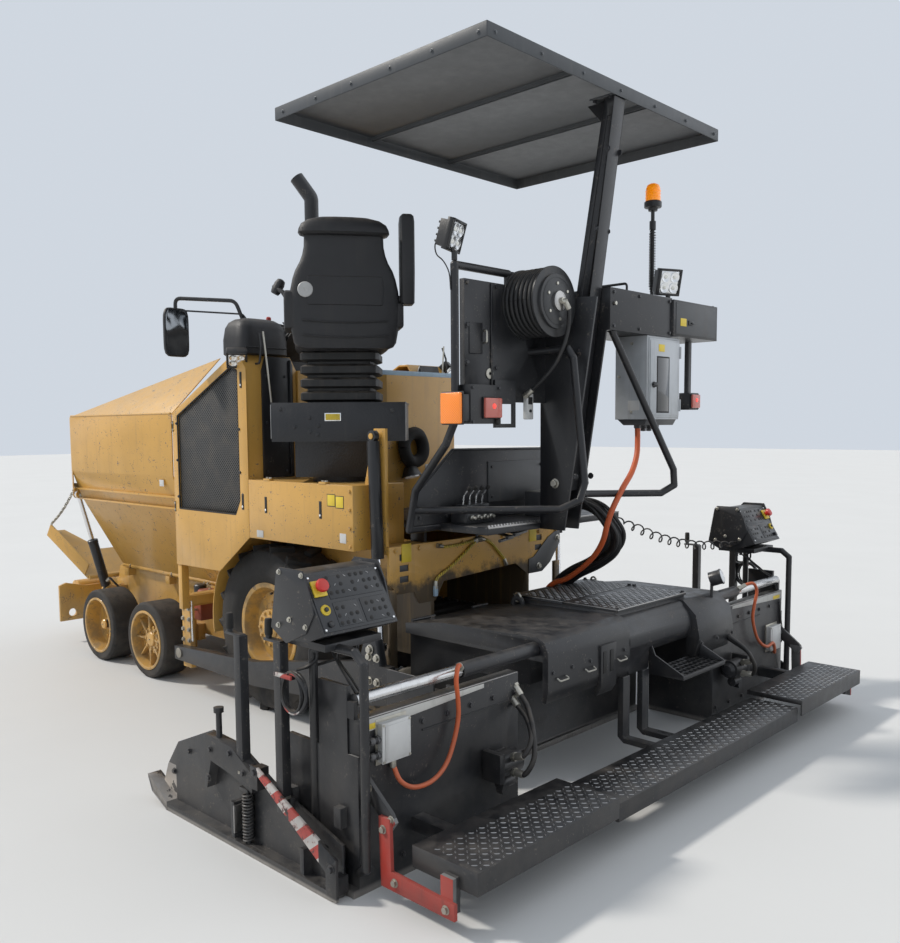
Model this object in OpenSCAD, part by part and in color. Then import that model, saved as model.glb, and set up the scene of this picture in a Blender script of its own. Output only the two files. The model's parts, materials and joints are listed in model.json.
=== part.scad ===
// Asphalt paver on wheels with a folding hopper, one swing-out seat and an extending screed.
// X runs forward, Y to the left and Z up. Forward places are given from the drive axle.

/* [Machine] */
// Place of the drive axle from the middle of the machine
axle_x = -240; // [-300:5:-200]
// Half of the tractor's width
half_w = 875; // [850:1:900]
// Sheet thickness of the body panels
sheet = 8; // [5:1:10]

/* [Drive wheels] */
// Radius of a drive tyre
drive_r = 525; // [500:1:540]
// Width of a drive tyre
drive_w = 330; // [300:1:340]
// Distance of a drive tyre's middle plane from the centre line
drive_y = 605; // [603:1:612]
// Radius of the drive wheel's rim flange
drive_rim_r = 290; // [260:1:310]

/* [Bogie wheels] */
// Radius of a solid bogie tyre
bogie_r = 270; // [255:1:275]
// Width of a bogie tyre
bogie_w = 230; // [200:1:235]
// Radius of a bogie wheel's rim
bogie_rim_r = 212; // [195:1:225]
// Place of the front bogie wheel ahead of the drive axle
front_bogie_x = 2056; // [2040:1:2070]
// Place of the rear bogie wheel ahead of the drive axle
rear_bogie_x = 1312; // [1305:1:1330]
// Distance of a bogie tyre's middle plane from the centre line
bogie_y = 762; // [755:1:765]
// Distance of a kingpin from the centre line
kingpin_y = 600; // [590:1:605]

/* [Hopper] */
// Front end of the hopper wings ahead of the drive axle
wing_front = 2400; // [2350:5:2420]
// Rear end of the hopper wings ahead of the drive axle
wing_rear = 862; // [860:1:880]
// Distance of a wing's hinge from the centre line
wing_hinge_y = 470; // [460:1:480]
// Height of a wing's hinge
wing_hinge_z = 660; // [650:1:670]
// Height of the bend between a wing's side and its leaning top
wing_bend_z = 1860; // [1820:5:1880]
// Height of the top corner of a wing at its rear end
wing_top_z = 2245; // [2200:5:2260]

/* [Body] */
// Front face of the side towers ahead of the drive axle
tower_front = 844; // [835:1:850]
// Rear face of the side towers behind the drive axle
tower_rear = -20; // [-40:1:0]
// Height of the towers' highest edge
tower_top = 2205; // [2150:5:2220]
// Rear end of the side panels behind the drive axle
panel_rear = -985; // [-1005:1:-960]
// Top of the side panels
panel_top = 1460; // [1440:1:1470]
// Lower edge of the side panels
panel_low = 1110; // [1100:1:1130]
// Top of the engine hood
hood_top = 2120; // [2080:5:2140]
// Rear wall of the engine hood behind the drive axle
hood_rear = -420; // [-440:5:-400]

/* [Operator's place] */
// Height of the rear platform
deck_z = 1250; // [1240:1:1260]
// Rear edge of the platform behind the drive axle
deck_rear = -1600; // [-1610:5:-1590]
// Turn of the seat from straight ahead, to the right
seat_turn = 46; // [40:1:50]
// Width of the seat's console box
seat_box_w = 740; // [700:5:760]
// Height of the lower side of the canopy's rim
roof_z = 3395; // [3350:5:3400]
// Length of the canopy roof
roof_len = 1500; // [1450:5:1520]
// Half of the canopy roof's width
roof_half_w = 1003; // [980:1:1010]

/* [Screed] */
// Front face of the main screed behind the drive axle
screed_front = -1220; // [-1225:1:-1210]
// Depth of a screed plate along the machine
screed_depth = 440; // [420:5:450]
// Half width of the main screed
screed_half_w = 850; // [840:1:860]
// Outer end of the screed extensions from the centre line
ext_outer = 1865; // [1855:1:1870]
// Inner end of the screed extensions from the centre line
ext_inner = 900; // [895:1:910]
// Top of the walkway's side sections
walk_z = 249; // [240:1:255]
// Rear edge of the walkway behind the drive axle
walk_rear = -2667; // [-2680:1:-2650]
// Depth of the walkway along the machine
walk_depth = 321; // [310:1:330]

/* [Hidden] */
paint = "goldenrod";
black = [0.16, 0.16, 0.17];
rubber = [0.1, 0.1, 0.1];
bright = "silver";

// A drawing placed from the drive axle
module from_axle() { translate([axle_x, 0, 0]) children(); }
// A block between two corners
module block(low, high) { translate(low) cube(high - low); }
// A profile in X and Z, drawn between two distances from the centre line
module side_plate(y0, y1, points) {
  translate([0, y1, 0]) rotate([90, 0, 0]) linear_extrude(y1 - y0) polygon(points);
}
// A profile in Y and Z, drawn between two places along the machine
module cross_plate(x0, x1, points) {
  translate([x0, 0, 0]) rotate([90, 0, 90]) linear_extrude(x1 - x0) polygon(points);
}
// A round bar along the machine's width
module bar_y(x, z, y0, y1, r, facets = 32) {
  translate([x, y1, z]) rotate([90, 0, 0]) cylinder(h = y1 - y0, r = r, $fn = facets);
}
// A round bar between two points
module rod(a, b, r, facets = 20) {
  v = b - a;
  turn = atan2(v[1], v[0]);
  tilt = acos(min(1, max(-1, v[2] / norm(v))));
  translate(a) rotate([0, tilt, turn]) cylinder(h = norm(v), r = r, $fn = facets);
}
// A bent round bar through several points, its joints closed by balls
module bent_rod(points, r) {
  for (i = [0 : len(points) - 2]) rod(points[i], points[i + 1], r);
  for (i = [1 : len(points) - 2]) translate(points[i]) sphere(r + 0.4, $fn = 24);
}
// A round bar along the machine
module bar_x(x0, x1, r) { translate([x0, 0, 0]) rotate([0, 90, 0]) cylinder(h = x1 - x0, r = r, $fn = 32); }
module bar_x_at(x0, x1, place, r) { translate([0, place[0], place[1]]) bar_x(x0, x1, r); }
// Left and right copies of what is drawn on the left
module both_sides() { children(); mirror([0, 1, 0]) children(); }

frame_y = 430;
frame_plate = 20;
apron_x = 2695;
apron_z = 540;
apron_tube_r = 20;
seat_gap = 0.3;
frame_outline = [
  [-1120, 470], [-1120, 1130], [-450, 1130], [700, 1090], [860, 640], [2560, 640],
  [2600, apron_z - apron_tube_r - seat_gap], [2760, apron_z - apron_tube_r - seat_gap],
  [2760, 250], [900, 250], [560, 380], [-780, 380], [-820, 470]
];
run_gap = 8;
arm_out = screed_half_w + 10;
arm_in = arm_out - 54;
tail_rear = -1120;
tail_front = -1100;
tail_outline = [
  [-743, 1130], [743, 1130], [743, 930], [680, 870], [560, 870], [520, 800], [400, 800], [330, 900],
  [-300, 930], [-420, 850], [-560, 850], [-640, 900], [-743, 1020]
];
wing_pin_r = 18;
arch_r = 590;
auger_x = -1000;
auger_z = 270;
auger_shaft_r = 35;
auger_end = 738;
eye_x = 2490;
eye_half = 18;
pin_r = 16;
barrel_foot = [585, 460];
// A ring sector round the drive axle, from one angle to another, drawn on the left
module mudguard(y0, y1, r, from, to) {
  intersection() {
    difference() {
      bar_y(0, drive_r, y0, y1, r + sheet, 128);
      bar_y(0, drive_r, y0 - 1, y1 + 1, r, 128);
    }
    side_plate(y0 - 2, y1 + 2, [
      [0, drive_r], for (a = [from : (to - from) / 4 : to]) [2 * r * cos(a), drive_r + 2 * r * sin(a)]
    ]);
  }
}
hopper_floor_z = 600;
axle_tube_r = 90;

module frame() {
  color(paint) from_axle() {
    both_sides() {
      side_plate(frame_y - frame_plate, frame_y, frame_outline);
      bar_y(0, drive_r, frame_y, drive_y + 35 - seat_gap, axle_tube_r + 30);
      block([tail_rear, lift_y - lift_gap - 50, 470], [tail_front, lift_y - lift_gap, 900]);
      block([tower_front - 44, half_w - 60, 560], [tower_front, half_w - sheet, 863 - seat_gap]);
      block([tower_front - 44, frame_y, 580], [tower_front - 24, half_w - 60, 640]);
      mudguard(500, 765, arch_r, -10, 82);
      block([300, frame_y, 1000], [320, 501, 1060]);
      for (x = [1000, 1650, 2300])
        block([x, frame_y, wing_hinge_z - 80], [x + 60, wing_hinge_y + 20, wing_hinge_z - wing_pin_r - seat_gap]);
      for (x = [eye_x - eye_half - 24, eye_x + eye_half + 4]) {
        block([x, frame_y, barrel_foot[1] - 28], [x + 20, barrel_foot[0], barrel_foot[1] + 22]);
        bar_x_at(x, x + 20, barrel_foot, 28);
      }
      bar_x_at(eye_x - eye_half - 4, eye_x + eye_half + 4, barrel_foot, pin_r);
      difference() {
        block([-1100, auger_end - 8, 220], [-930, auger_end + 2, 600]);
        bar_y(auger_x, auger_z, 700, 800, auger_shaft_r + 0.05, 48);
      }
    }
    difference() {
      cross_plate(tail_rear, tail_front, tail_outline);
      for (y = [600, -560]) for (z = [930, 990, 1050])
        block([tail_rear - 1, y, z], [tail_front + 1, y + 70, z + 36]);
    }
    for (x = [100, 600]) block([x, -frame_y, 960], [x + 60, frame_y, 1000 - seat_gap]);
    difference() {
      block([-1040, -24, auger_z - 60], [-960, 24, 500]);
      bar_y(auger_x, auger_z, -30, 30, auger_shaft_r + 0.05, 48);
    }
    block([-1040, -frame_y, 500], [-960, frame_y, 519]);
    block([2640, -frame_y, 260], [2660, frame_y, 519]);
    block([700, -frame_y, 260], [760, frame_y, 330]);
    block([wing_rear - 16, -frame_y, 640], [wing_rear - 8, frame_y, 1990]);
    tow_brackets();
  }
}
module bogie_beams() {
  color(paint) from_axle() both_sides() {
    block([rear_bogie_x - 60, frame_y + seat_gap, bogie_r - 60], [front_bogie_x + 60, frame_y + 60, bogie_r + 60]);
    for (x = [front_bogie_x, rear_bogie_x]) difference() {
      block([x - 42, frame_y + 60, bogie_r - 110], [x + 42, kingpin_y + 26, bogie_r + 110]);
      block([x - 50, kingpin_y - 45, bogie_r - 66], [x + 50, kingpin_y + 31, bogie_r + 66]);
      translate([x, kingpin_y, 0]) cylinder(h = 600, r = 20.05, $fn = 48);
    }
  }
}
// A knuckle with its kingpin and stub axle, drawn on the left
module knuckle(x) {
  color(black) from_axle() {
    translate([x, kingpin_y, bogie_r - 110]) cylinder(h = 220, r = 20, $fn = 48);
    translate([x, kingpin_y, bogie_r - 60]) cylinder(h = 120, r = 34, $fn = 48);
    bar_y(x, bogie_r, kingpin_y + 20, bogie_y + 60, 30, 48);
  }
}
module bogie_tyre(x) {
  r = bogie_r;
  w = bogie_w / 2;
  color(rubber) from_axle() translate([x, bogie_y, r]) rotate([90, 0, 0])
    rotate_extrude($fn = 96) polygon([
      [bogie_rim_r, -w], [r - 14, -w], [r, -w + 16], [r, w - 16], [r - 14, w], [bogie_rim_r, w]
    ]);
}
// A bogie wheel's rim; the deep kind has a small hub, the other a wide bolted one with ribs
module bogie_rim(x, hub_r, dish, ribs) {
  w = bogie_w / 2;
  r = bogie_rim_r - 0.02;
  color(paint) from_axle() translate([x, bogie_y, bogie_r]) rotate([90, 0, 0]) {
    rotate_extrude($fn = 96) polygon([
      [30.05, -w + dish - 14], [hub_r, -w + dish - 14], [hub_r, -w + dish + 18], [r - 30, -w + dish + 18],
      [r - 18, -w - 4], [r, -w - 4], [r, w], [r - 14, w], [r - 24, -w + dish + 44],
      [60, -w + dish + 44], [60, w - 30], [30.05, w - 30]
    ]);
    if (ribs > 0) for (i = [0 : ribs - 1]) rotate(360 / ribs * i)
      translate([hub_r - 4, -5, -w + dish - 30]) cube([r - 24 - hub_r, 10, 50]);
  }
}
lug_count = 18;
lug_h = 26;
// A drive tyre with two rows of slanted lugs
module drive_tyre() {
  r = drive_r;
  b = drive_r - lug_h;
  w = drive_w / 2;
  color(rubber) from_axle() translate([0, drive_y, r]) rotate([90, 0, 0]) {
    rotate_extrude($fn = 128) polygon([
      [drive_rim_r, -w + 30], [drive_rim_r + 60, -w], [b - 70, -w - 4], [b - 12, -w + 8], [b, -w + 34],
      [b, w - 34], [b - 12, w - 8], [b - 70, w + 4], [drive_rim_r + 60, w], [drive_rim_r, w - 30]
    ]);
    intersection() {
      for (side = [-1, 1], i = [0 : lug_count - 1])
        rotate(360 / lug_count * (i + (side > 0 ? 0.5 : 0))) translate([b - 30, 0, side * 84])
          rotate([side * 28, 0, 0]) cube([2 * (lug_h + 30), 52, 2 * w - 180], center = true);
      translate([0, 0, -w + 2]) cylinder(h = 2 * w - 4, r = r, $fn = 128);
    }
  }
}
module drive_rim() {
  w = drive_w / 2;
  r = drive_rim_r - 0.02;
  color(paint) from_axle() translate([0, drive_y, drive_r]) rotate([90, 0, 0]) {
    rotate_extrude($fn = 128) polygon([
      [0, -w + 40], [120, -w + 40], [120, -w + 100], [r - 60, -w + 110], [r - 30, -w + 26], [r, -w + 26],
      [r, w - 26], [r - 12, w - 26], [r - 40, -w + 130], [0, -w + 130]
    ]);
    for (i = [0 : 9]) rotate(36 * i) translate([150, 0, -w + 88]) cylinder(h = 30, r = 14, $fn = 6);
  }
}
module engine() {
  color(black) from_axle() block([60, -330, 1000], [700, 330, 1900]);
}
hood_front = wing_rear - 16 - seat_gap;
hood_half = 500;
hood_low = 1131;
seat_x = -550;
seat_y = 570;
seat_sweep = 418;
// The hood's volume, shrunk by a wall all round and open below
module hood_volume(wall, low) {
  corner = seat_y - seat_x - 2 * seat_sweep * sin(45) - wall;
  intersection() {
    side_plate(-hood_half + wall, hood_half - wall, [
      [hood_rear + wall, low], [hood_rear + wall, hood_top - wall], [600 - wall / 2, hood_top - wall],
      [hood_front - wall, 1990 - wall], [hood_front - wall, low]
    ]);
    translate([0, 0, low]) linear_extrude(hood_top - low) polygon([
      [hood_rear, -hood_half], [hood_front, -hood_half], [hood_front, hood_half],
      [hood_half - corner, hood_half], [hood_rear, corner + hood_rear]
    ]);
  }
}
module hood() {
  color(paint) from_axle() difference() {
    hood_volume(0, hood_low);
    hood_volume(sheet, hood_low - 1);
  }
}
tower_inner = 505;
tower_outline = [
  [tower_front, 863], [tower_front, 1870], [125, tower_top], [40, tower_top], [tower_rear, tower_top - 85],
  [tower_rear, panel_low], [320, 870]
];
grille_outline = [
  [tower_front - 60, 1240], [tower_front - 60, 1850], [150, tower_top - 70], [70, tower_top - 90],
  [70, 1330], [120, 1240]
];
module towers() {
  color(paint) from_axle() both_sides() {
    difference() {
      side_plate(tower_inner, half_w, tower_outline);
      side_plate(tower_inner - 1, half_w - 50, [for (p = tower_outline)
        [p[0] + (p[0] > 400 ? -sheet : (p[0] < 0 ? sheet : 0)), p[1] + (p[1] > 1500 ? -sheet - 6 : sheet + 6)]]);
      side_plate(half_w - 51, half_w + 1, grille_outline);
      bar_y(0, drive_r, tower_inner - 2, half_w - sheet, arch_r + sheet + 5, 128);
    }
  }
}
module tower_grilles() {
  color(black) from_axle() both_sides() side_plate(half_w - 40, half_w - 12, grille_outline);
}
module side_panels() {
  color(paint) from_axle() both_sides() difference() {
    block([panel_rear, tower_inner, panel_low], [tower_rear - seat_gap, half_w, panel_top]);
    block([panel_rear + sheet, tower_inner - 1, panel_low - 1], [tower_rear - sheet, half_w - sheet, panel_top - sheet]);
  }
}
slat_pitch = 150;
module conveyor() {
  color(black) from_axle() {
    tunnel = frame_y - frame_plate - seat_gap;
    block([-880, -tunnel, hopper_floor_z - 80], [2590, tunnel, hopper_floor_z]);
    for (x = [-850 : slat_pitch : 2500])
      block([x, -380, hopper_floor_z], [x + 30, 380, hopper_floor_z + 20]);
  }
}
push_x = 2860;
roller_r = 85;
roller_z = 400;
module push_beam() {
  color(paint) from_axle() {
    difference() {
      cross_plate(push_x, push_x + 25, [
        [-820, 170], [820, 170], [820, 470], [760, 490], [600, 450], [-600, 450], [-760, 490], [-820, 470]
      ]);
      for (s = [-1, 1]) translate([push_x - 1, s * 715, 235]) rotate([0, 90, 0]) cylinder(h = 30, r = 32, $fn = 48);
    }
    both_sides() {
      block([2760 + seat_gap, 380, 250], [push_x, 430, 450]);
      for (y = [40, 640]) difference() {
        block([push_x + 25, y, roller_z - 50], [push_x + 145, y + 20, roller_z + 50]);
        bar_y(push_x + 115, roller_z, y - 1, y + 21, 20.05, 48);
      }
    }
  }
}
module push_rollers() {
  color(paint) from_axle() both_sides() {
    bar_y(push_x + 115, roller_z, 70, 630, roller_r, 48);
    bar_y(push_x + 115, roller_z, 42, 658, 20, 48);
  }
}
wing_section = [[0, 0], [330, 570], [405, 790], [405, wing_bend_z - wing_hinge_z]];
// A hopper wing, drawn on the left from its hinge
module wing() {
  t = sheet;
  bend = wing_bend_z - wing_hinge_z;
  rise = wing_top_z - wing_bend_z;
  color(paint) from_axle() translate([0, wing_hinge_y, wing_hinge_z]) {
    translate([wing_rear, 0, 0]) rotate([90, 0, 90]) linear_extrude(wing_front - wing_rear) polygon([
      [12, 10], [330, 570], [405, 790], [405, bend], [405 - t, bend], [405 - t, 792], [330 - t, 574], [4, 14]
    ]);
    hull() {
      translate([wing_rear, 405 - t, bend]) cube([wing_front - wing_rear, t, 1]);
      translate([wing_rear, 405 - rise - t, bend + rise]) cube([1, t, 1]);
    }
    intersection() {
      translate([0, 0, 570]) linear_extrude(bend - 570) polygon([
        [wing_front - 10, 405], [wing_front + 176, 330], [wing_front + 176, 330 - t], [wing_front - 10, 405 - t]
      ]);
      side_plate(200, 500, [
        [wing_front - 20, 600], [wing_front + 30, 600], [wing_front + 190, 690], [wing_front + 190, bend],
        [wing_front - 20, bend]
      ]);
    }
    for (x = [wing_front - 60, wing_front - 12]) translate([x, 0, 0]) rotate([90, 0, 90])
      linear_extrude(12) polygon([
        [20, 20], [330, 570], [405, 790], [405, 850], [345, 850], [258, 570], [0, 60]
      ]);
    for (z = [560, 640]) translate([wing_rear, 320 + (z - 560) / 3, z]) cube([wing_front - wing_rear, 36, 12]);
    bar_x(wing_rear, wing_front, wing_pin_r);
    for (x = [eye_x - eye_half - seat_gap - 14, eye_x + eye_half + seat_gap]) {
      translate([x, 320, 590]) rotate([0, 90, 0]) cylinder(h = 14, r = 32, $fn = 32);
      translate([x, 300, 590]) cube([14, 40, 90]);
    }
    translate([wing_front, 300, 640]) cube([eye_x + eye_half + 14 - wing_front, 40, 40]);
  }
}
wing_eye = [wing_hinge_y + 320, wing_hinge_z + 590];
wing_cyl = [wing_eye[0] - barrel_foot[0], wing_eye[1] - barrel_foot[1]];
wing_cyl_len = norm(wing_cyl);
wing_cyl_tilt = atan2(wing_cyl[0], wing_cyl[1]);
// The wing cylinder's own axes, drawn on the left
module on_wing_cylinder() {
  from_axle() translate([eye_x, barrel_foot[0], barrel_foot[1]]) rotate([-wing_cyl_tilt, 0, 0]) children();
}
module wing_barrel() {
  color(black) on_wing_cylinder() {
    difference() {
      union() {
        rotate([0, 90, 0]) translate([0, 0, -eye_half]) cylinder(h = 2 * eye_half, r = 30, $fn = 32);
        cylinder(h = 60, r = 16, $fn = 32);
        translate([0, 0, 34]) cylinder(h = 374, r = 38, $fn = 32);
      }
      rotate([0, 90, 0]) translate([0, 0, -50]) cylinder(h = 100, r = pin_r + 0.3, $fn = 32);
      translate([0, 0, 60]) cylinder(h = 400, r = 18.2, $fn = 32);
    }
  }
}
module wing_rod() {
  color(bright) on_wing_cylinder() {
    translate([0, 0, 240]) cylinder(h = wing_cyl_len - 240 - 24, r = 18, $fn = 32);
    difference() {
      translate([0, 0, wing_cyl_len]) rotate([0, 90, 0]) cylinder(h = 36, r = 30, center = true, $fn = 32);
      for (side = [-1, 1]) translate([side * 18, 0, wing_cyl_len]) rotate([0, 90, 0])
        cylinder(h = 4, r = 17, center = true, $fn = 32);
    }
  }
}
apron_lean = 50;
apron_lip = 130;
// The apron in front of the hopper, with ears that are folded back at their outer edges
module apron() {
  color(paint) from_axle() translate([apron_x, 0, apron_z]) rotate([0, apron_lean, 0]) {
    rotate([90, 0, 90]) linear_extrude(12) polygon([
      [-650, 0], [650, 0], [800, 535], [760, 570], [640, 570], [420, 310], [-420, 310], [-640, 570], [-760, 570],
      [-800, 535]
    ]);
    both_sides() translate([12 - apron_lip, 0, 0]) rotate([90, 0, 90]) linear_extrude(apron_lip) polygon([
      [652, 40], [791, 535], [800, 535], [661, 40]
    ]);
    translate([0, 640, 0]) rotate([90, 0, 0]) cylinder(h = 1280, r = apron_tube_r, $fn = 32);
    both_sides() translate([6, 722, 540]) rotate([0, 90, 0]) cylinder(h = 20, r = 36.6, center = true, $fn = 32);
  }
}
module deck() {
  color(black) from_axle() {
    block([deck_rear, -700, deck_z - 40], [panel_rear - seat_gap, 500, deck_z]);
    block([panel_rear - 1, -hood_half, deck_z - 40], [hood_rear - seat_gap, hood_half, deck_z]);
    both_sides() block([-1098, 440, 1130 + seat_gap], [panel_rear - 2, 460, deck_z - 40]);
  }
}
module operator_console() {
  color(black) from_axle() {
    side_plate(250, 490, [
      [100, hood_top], [380, hood_top], [420, 2300], [390, 2370], [320, 2420], [220, 2420], [180, 2400]
    ]);
    translate([60, 370, 2290]) rotate([0, 60, 0]) cylinder(h = 14, r = 150, $fn = 48);
    rod([60, 370, 2290], [150, 370, 2340], 18);
  }
}
module at_seat() { from_axle() translate([seat_x, seat_y, 0]) rotate([0, 0, -seat_turn]) children(); }
module seat_base() {
  color(black) at_seat() {
    translate([0, 0, panel_top + seat_gap]) cylinder(h = 31, r = 180, $fn = 48);
    block([-200, -150, panel_top + 31], [200, 250, 1690]);
    translate([0, 0, 1690]) linear_extrude(215) polygon([
      [-250, -seat_box_w / 2], [170, -seat_box_w / 2], [250, 80 - seat_box_w / 2],
      [250, seat_box_w / 2 - 80], [170, seat_box_w / 2], [-250, seat_box_w / 2]
    ]);
  }
}
bellows_z = [1905, 1985, 2065, 2145];
module seat() {
  color(black) at_seat() {
    for (z = bellows_z) {
      block([-190, -200, z], [190, 200, z + 80]);
      block([-215, -235, z + 22], [215, 235, z + 62]);
    }
    block([-250, -270, 2224], [270, 270, 2330]);
    block([-230, -255, 2330], [290, 255, 2400]);
    block([-330, 262, 2224], [-60, 345, 2600]);
    block([-330, -345, 2224], [-60, -262, 2420]);
    hull() {
      block([-330, -330, 2240], [-200, 330, 2560]);
      block([-345, -250, 2740], [-250, 250, 2780]);
    }
    hull() {
      block([-345, -245, 2780], [-255, 245, 2790]);
      block([-385, -270, 2820], [-255, 270, 2840]);
      block([-370, -190, 2900], [-270, 190, 2920]);
    }
    block([-345, -362, 2420], [-255, -300, 2950]);
    bar_y(-290, 2460, -310, -240, 16);
    rod([-180, 320, 2560], [-120, 400, 2640], 30);
  }
}
mast_foot = [-1700, 1420];
mast_head = [-2040, 3390];
mast_half = 49;
cheek_in = 55;
guard_x = -1631;
guard_top = 2480;
loop_r = 19;
module rear_guard() {
  color(black) from_axle() {
    block([guard_x, cheek_in, 1890], [deck_rear, 700, guard_top]);
    bent_rod([
      [-1250, 501 + seat_gap, deck_z - 18], [-1250, 720, deck_z - 18], [-1300, 720, 1440], [-1540, 740, 1680],
      [-1610, 745, 1800], [-1610, 745, 2540], [-1610, 350, 2540], [-1610, 350, guard_top - 10]
    ], 20);
    block([-1690, 500, 1780], [deck_rear, 722, 1970]);
    difference() {
      block([-1645, 330, 1760], [guard_x + 1, 490, 2000]);
      block([-1650, 350, 1780], [guard_x + 2, 470, 1880]);
    }
    both_sides() side_plate(cheek_in, cheek_in + 12, [
      [deck_rear, deck_z - 40], [deck_rear, 2450], [-1960, 2420], [-1790, 1380], [-1760, deck_z - 40]
    ]);
    bar_y(mast_foot[0], mast_foot[1] + 40, -cheek_in - 12, cheek_in + 12, 20, 48);
    block([guard_x, cheek_in, guard_top - 10], [deck_rear, 342, guard_top + 70]);
    block([-1960, -670, 2262], [deck_rear, -cheek_in, guard_top]);
    block([-1975, -1170, 2270], [deck_rear - 40, -664, guard_top - 8]);
    block([-1830, -1130, 1960], [-1806, -1090, 2275]);
    block([-1860, -1170, 1860], [-1790, -1060, 1962]);
    bent_rod([
      [-1620, 200, 2150], [-1850, 160, 2160], [-1885, 160, 2110], [-1960, 160, 1480], [-1950, 190, 1390],
      [-1880, 260, 1345], [-1270, 715, 1335]
    ], loop_r);
    bent_rod([
      [-1861, -80, 2300], [-1920, -125, 2270], [-2030, -590, 1520], [-2025, -610, 1430], [-1970, -560, 1385],
      [-1790, -90, 1400], [-1790, -60, 1400]
    ], loop_r);
  }
}
reel_r = 176;
reel_ribs = 6;
// A hose reel with a grooved drum, on the rear guard
module hose_reel() {
  len = 218;
  pitch = (len - 44) / reel_ribs;
  color(black) from_axle() translate([guard_x - seat_gap, 248, 2390]) rotate([0, -90, 0])
    rotate_extrude($fn = 64) polygon([
      [0, 0], [reel_r, 0], [reel_r, 12],
      for (i = [0 : reel_ribs - 1]) each [
        [reel_r - 26, 14 + i * pitch], [reel_r - 12, 14 + (i + 0.5) * pitch], [reel_r - 26, 13.6 + (i + 1) * pitch]
      ],
      [reel_r, len - 28], [reel_r, len - 16], [136, len - 16], [136, len], [60, len], [50, len - 12], [0, len - 12]
    ]);
}
module cabinet() {
  color("lightgray") from_axle() {
    block([-1950, -775, 1800], [-1745, -430, 2262 - seat_gap]);
    block([-1958, -765, 1812], [-1950, -440, 2248]);
  }
}
beacon = [-1700, -880];
// A square lamp head with its bracket, drawn round its middle
module lamp_head(tilt, turn) {
  rotate([0, tilt, turn]) {
    translate([-14, 0, 0]) cube([28, 150, 150], center = true);
    translate([20, 0, 0]) cube([44, 124, 124], center = true);
    for (z = [-45, -15, 15, 45]) translate([46, 0, z]) cube([14, 110, 10], center = true);
  }
}
module work_lamps() {
  color(black) from_axle() {
    translate([-1560, 715, 2690]) lamp_head(-16, 20);
    translate([-1610, 745, 2560.4 + seat_gap]) cylinder(h = 36, r = 14, $fn = 32);
    rod([-1610, 745, 2590], [-1560, 716, 2640], 11);
    translate([-1870, -760, 2590]) lamp_head(-14, -25);
    translate([-1880, -760, guard_top - 8 + seat_gap]) cylinder(h = 36, r = 14, $fn = 32);
    rod([-1880, -760, 2500], [-1866, -760, 2550], 11);
    translate([beacon[0], beacon[1], guard_top - 8 + seat_gap]) cylinder(h = 14, r = 34, $fn = 32);
    translate([beacon[0], beacon[1], guard_top]) cylinder(h = 560, r = 11, $fn = 24);
    translate([beacon[0], beacon[1], 3036]) rotate_extrude($fn = 40) polygon([
      [0, 0], [26, 0], [30, 16], [50, 20], [50, 52], [43, 56], [41, 130], [34, 148], [18, 156], [0, 158]
    ]);
  }
}
module side_mirror() {
  color(black) from_axle() {
    block([500, 930, 2210], [540, 1100, 2510]);
    bent_rod([[520, 1010, 2490], [520, 1010, 2570], [180, 800, 2540], [110, 700, tower_top + 10]], 12);
    block([80, 670, tower_top + seat_gap], [124, 730, tower_top + 14]);
  }
}
exhaust_x = 300;
exhaust_y = 110;
exhaust_top = 3340;
// The exhaust pipe, with its end bent to one side
module exhaust() {
  color(black) from_axle() {
    translate([exhaust_x, exhaust_y, hood_top + seat_gap]) cylinder(h = 90, r = 80, $fn = 32);
    bent_rod([
      [exhaust_x, exhaust_y, hood_top + 20], [exhaust_x, exhaust_y, exhaust_top - 190],
      [exhaust_x + 40, exhaust_y + 30, exhaust_top - 110], [exhaust_x + 130, exhaust_y + 90, exhaust_top]
    ], 45);
  }
}
module mast() {
  color(black) from_axle() {
    difference() {
      side_plate(-mast_half, mast_half, [
        [mast_foot[0] - 60, mast_foot[1]], [mast_foot[0] + 60, mast_foot[1]],
        [mast_head[0] + 55, mast_head[1] - seat_gap], [mast_head[0] - 5, mast_head[1] - seat_gap]
      ]);
      bar_y(mast_foot[0], mast_foot[1] + 40, -200, 200, 20.05, 48);
      both_sides() side_plate(mast_half - 10, mast_half + 1, [
        [mast_foot[0] - 50, 1560], [mast_foot[0] + 10, 1560], [mast_head[0] + 40, 3300], [mast_head[0] + 12, 3300]
      ]);
    }
    side_plate(-6, 6, [
      [mast_head[0] + 50, 3230], [mast_head[0] + 50, mast_head[1] - seat_gap],
      [mast_head[0] + 190, mast_head[1] - seat_gap]
    ]);
  }
}
module roof() {
  color("dimgray") from_axle() difference() {
    block([-2050, -roof_half_w, mast_head[1]], [-2050 + roof_len, roof_half_w, mast_head[1] + 66]);
    block([-2050 + 4, -roof_half_w + 4, mast_head[1] - 1], [-2050 + roof_len - 4, roof_half_w - 4, mast_head[1] + 58]);
    }
  color("dimgray") from_axle() {
    block([-2048, -60, mast_head[1]], [-1900, 60, mast_head[1] + 10]);
    for (y = [-330, 320]) block([-2046, y, mast_head[1] + 40], [-2054 + roof_len, y + 10, mast_head[1] + 59]);
  }
}
flight_r = 140;
flight_pitch = 300;
module auger() {
  color(paint) from_axle() {
    bar_y(auger_x, auger_z, 0.5, auger_end, auger_shaft_r, 48);
    translate([auger_x, 690, auger_z]) rotate([90, 0, 0])
      linear_extrude(630, twist = -360 * 630 / flight_pitch, slices = 50) square([2 * flight_r, 12], center = true);
  }
}
lift_top = [-1050, 1720];
lift_eye = [-1090, 600];
lift_y = arm_in - 23;
lift_gap = 40;
lift_vec = [lift_eye[0] - lift_top[0], lift_eye[1] - lift_top[1]];
lift_len = norm(lift_vec);
lift_tilt = atan2(lift_vec[0], -lift_vec[1]);
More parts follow.
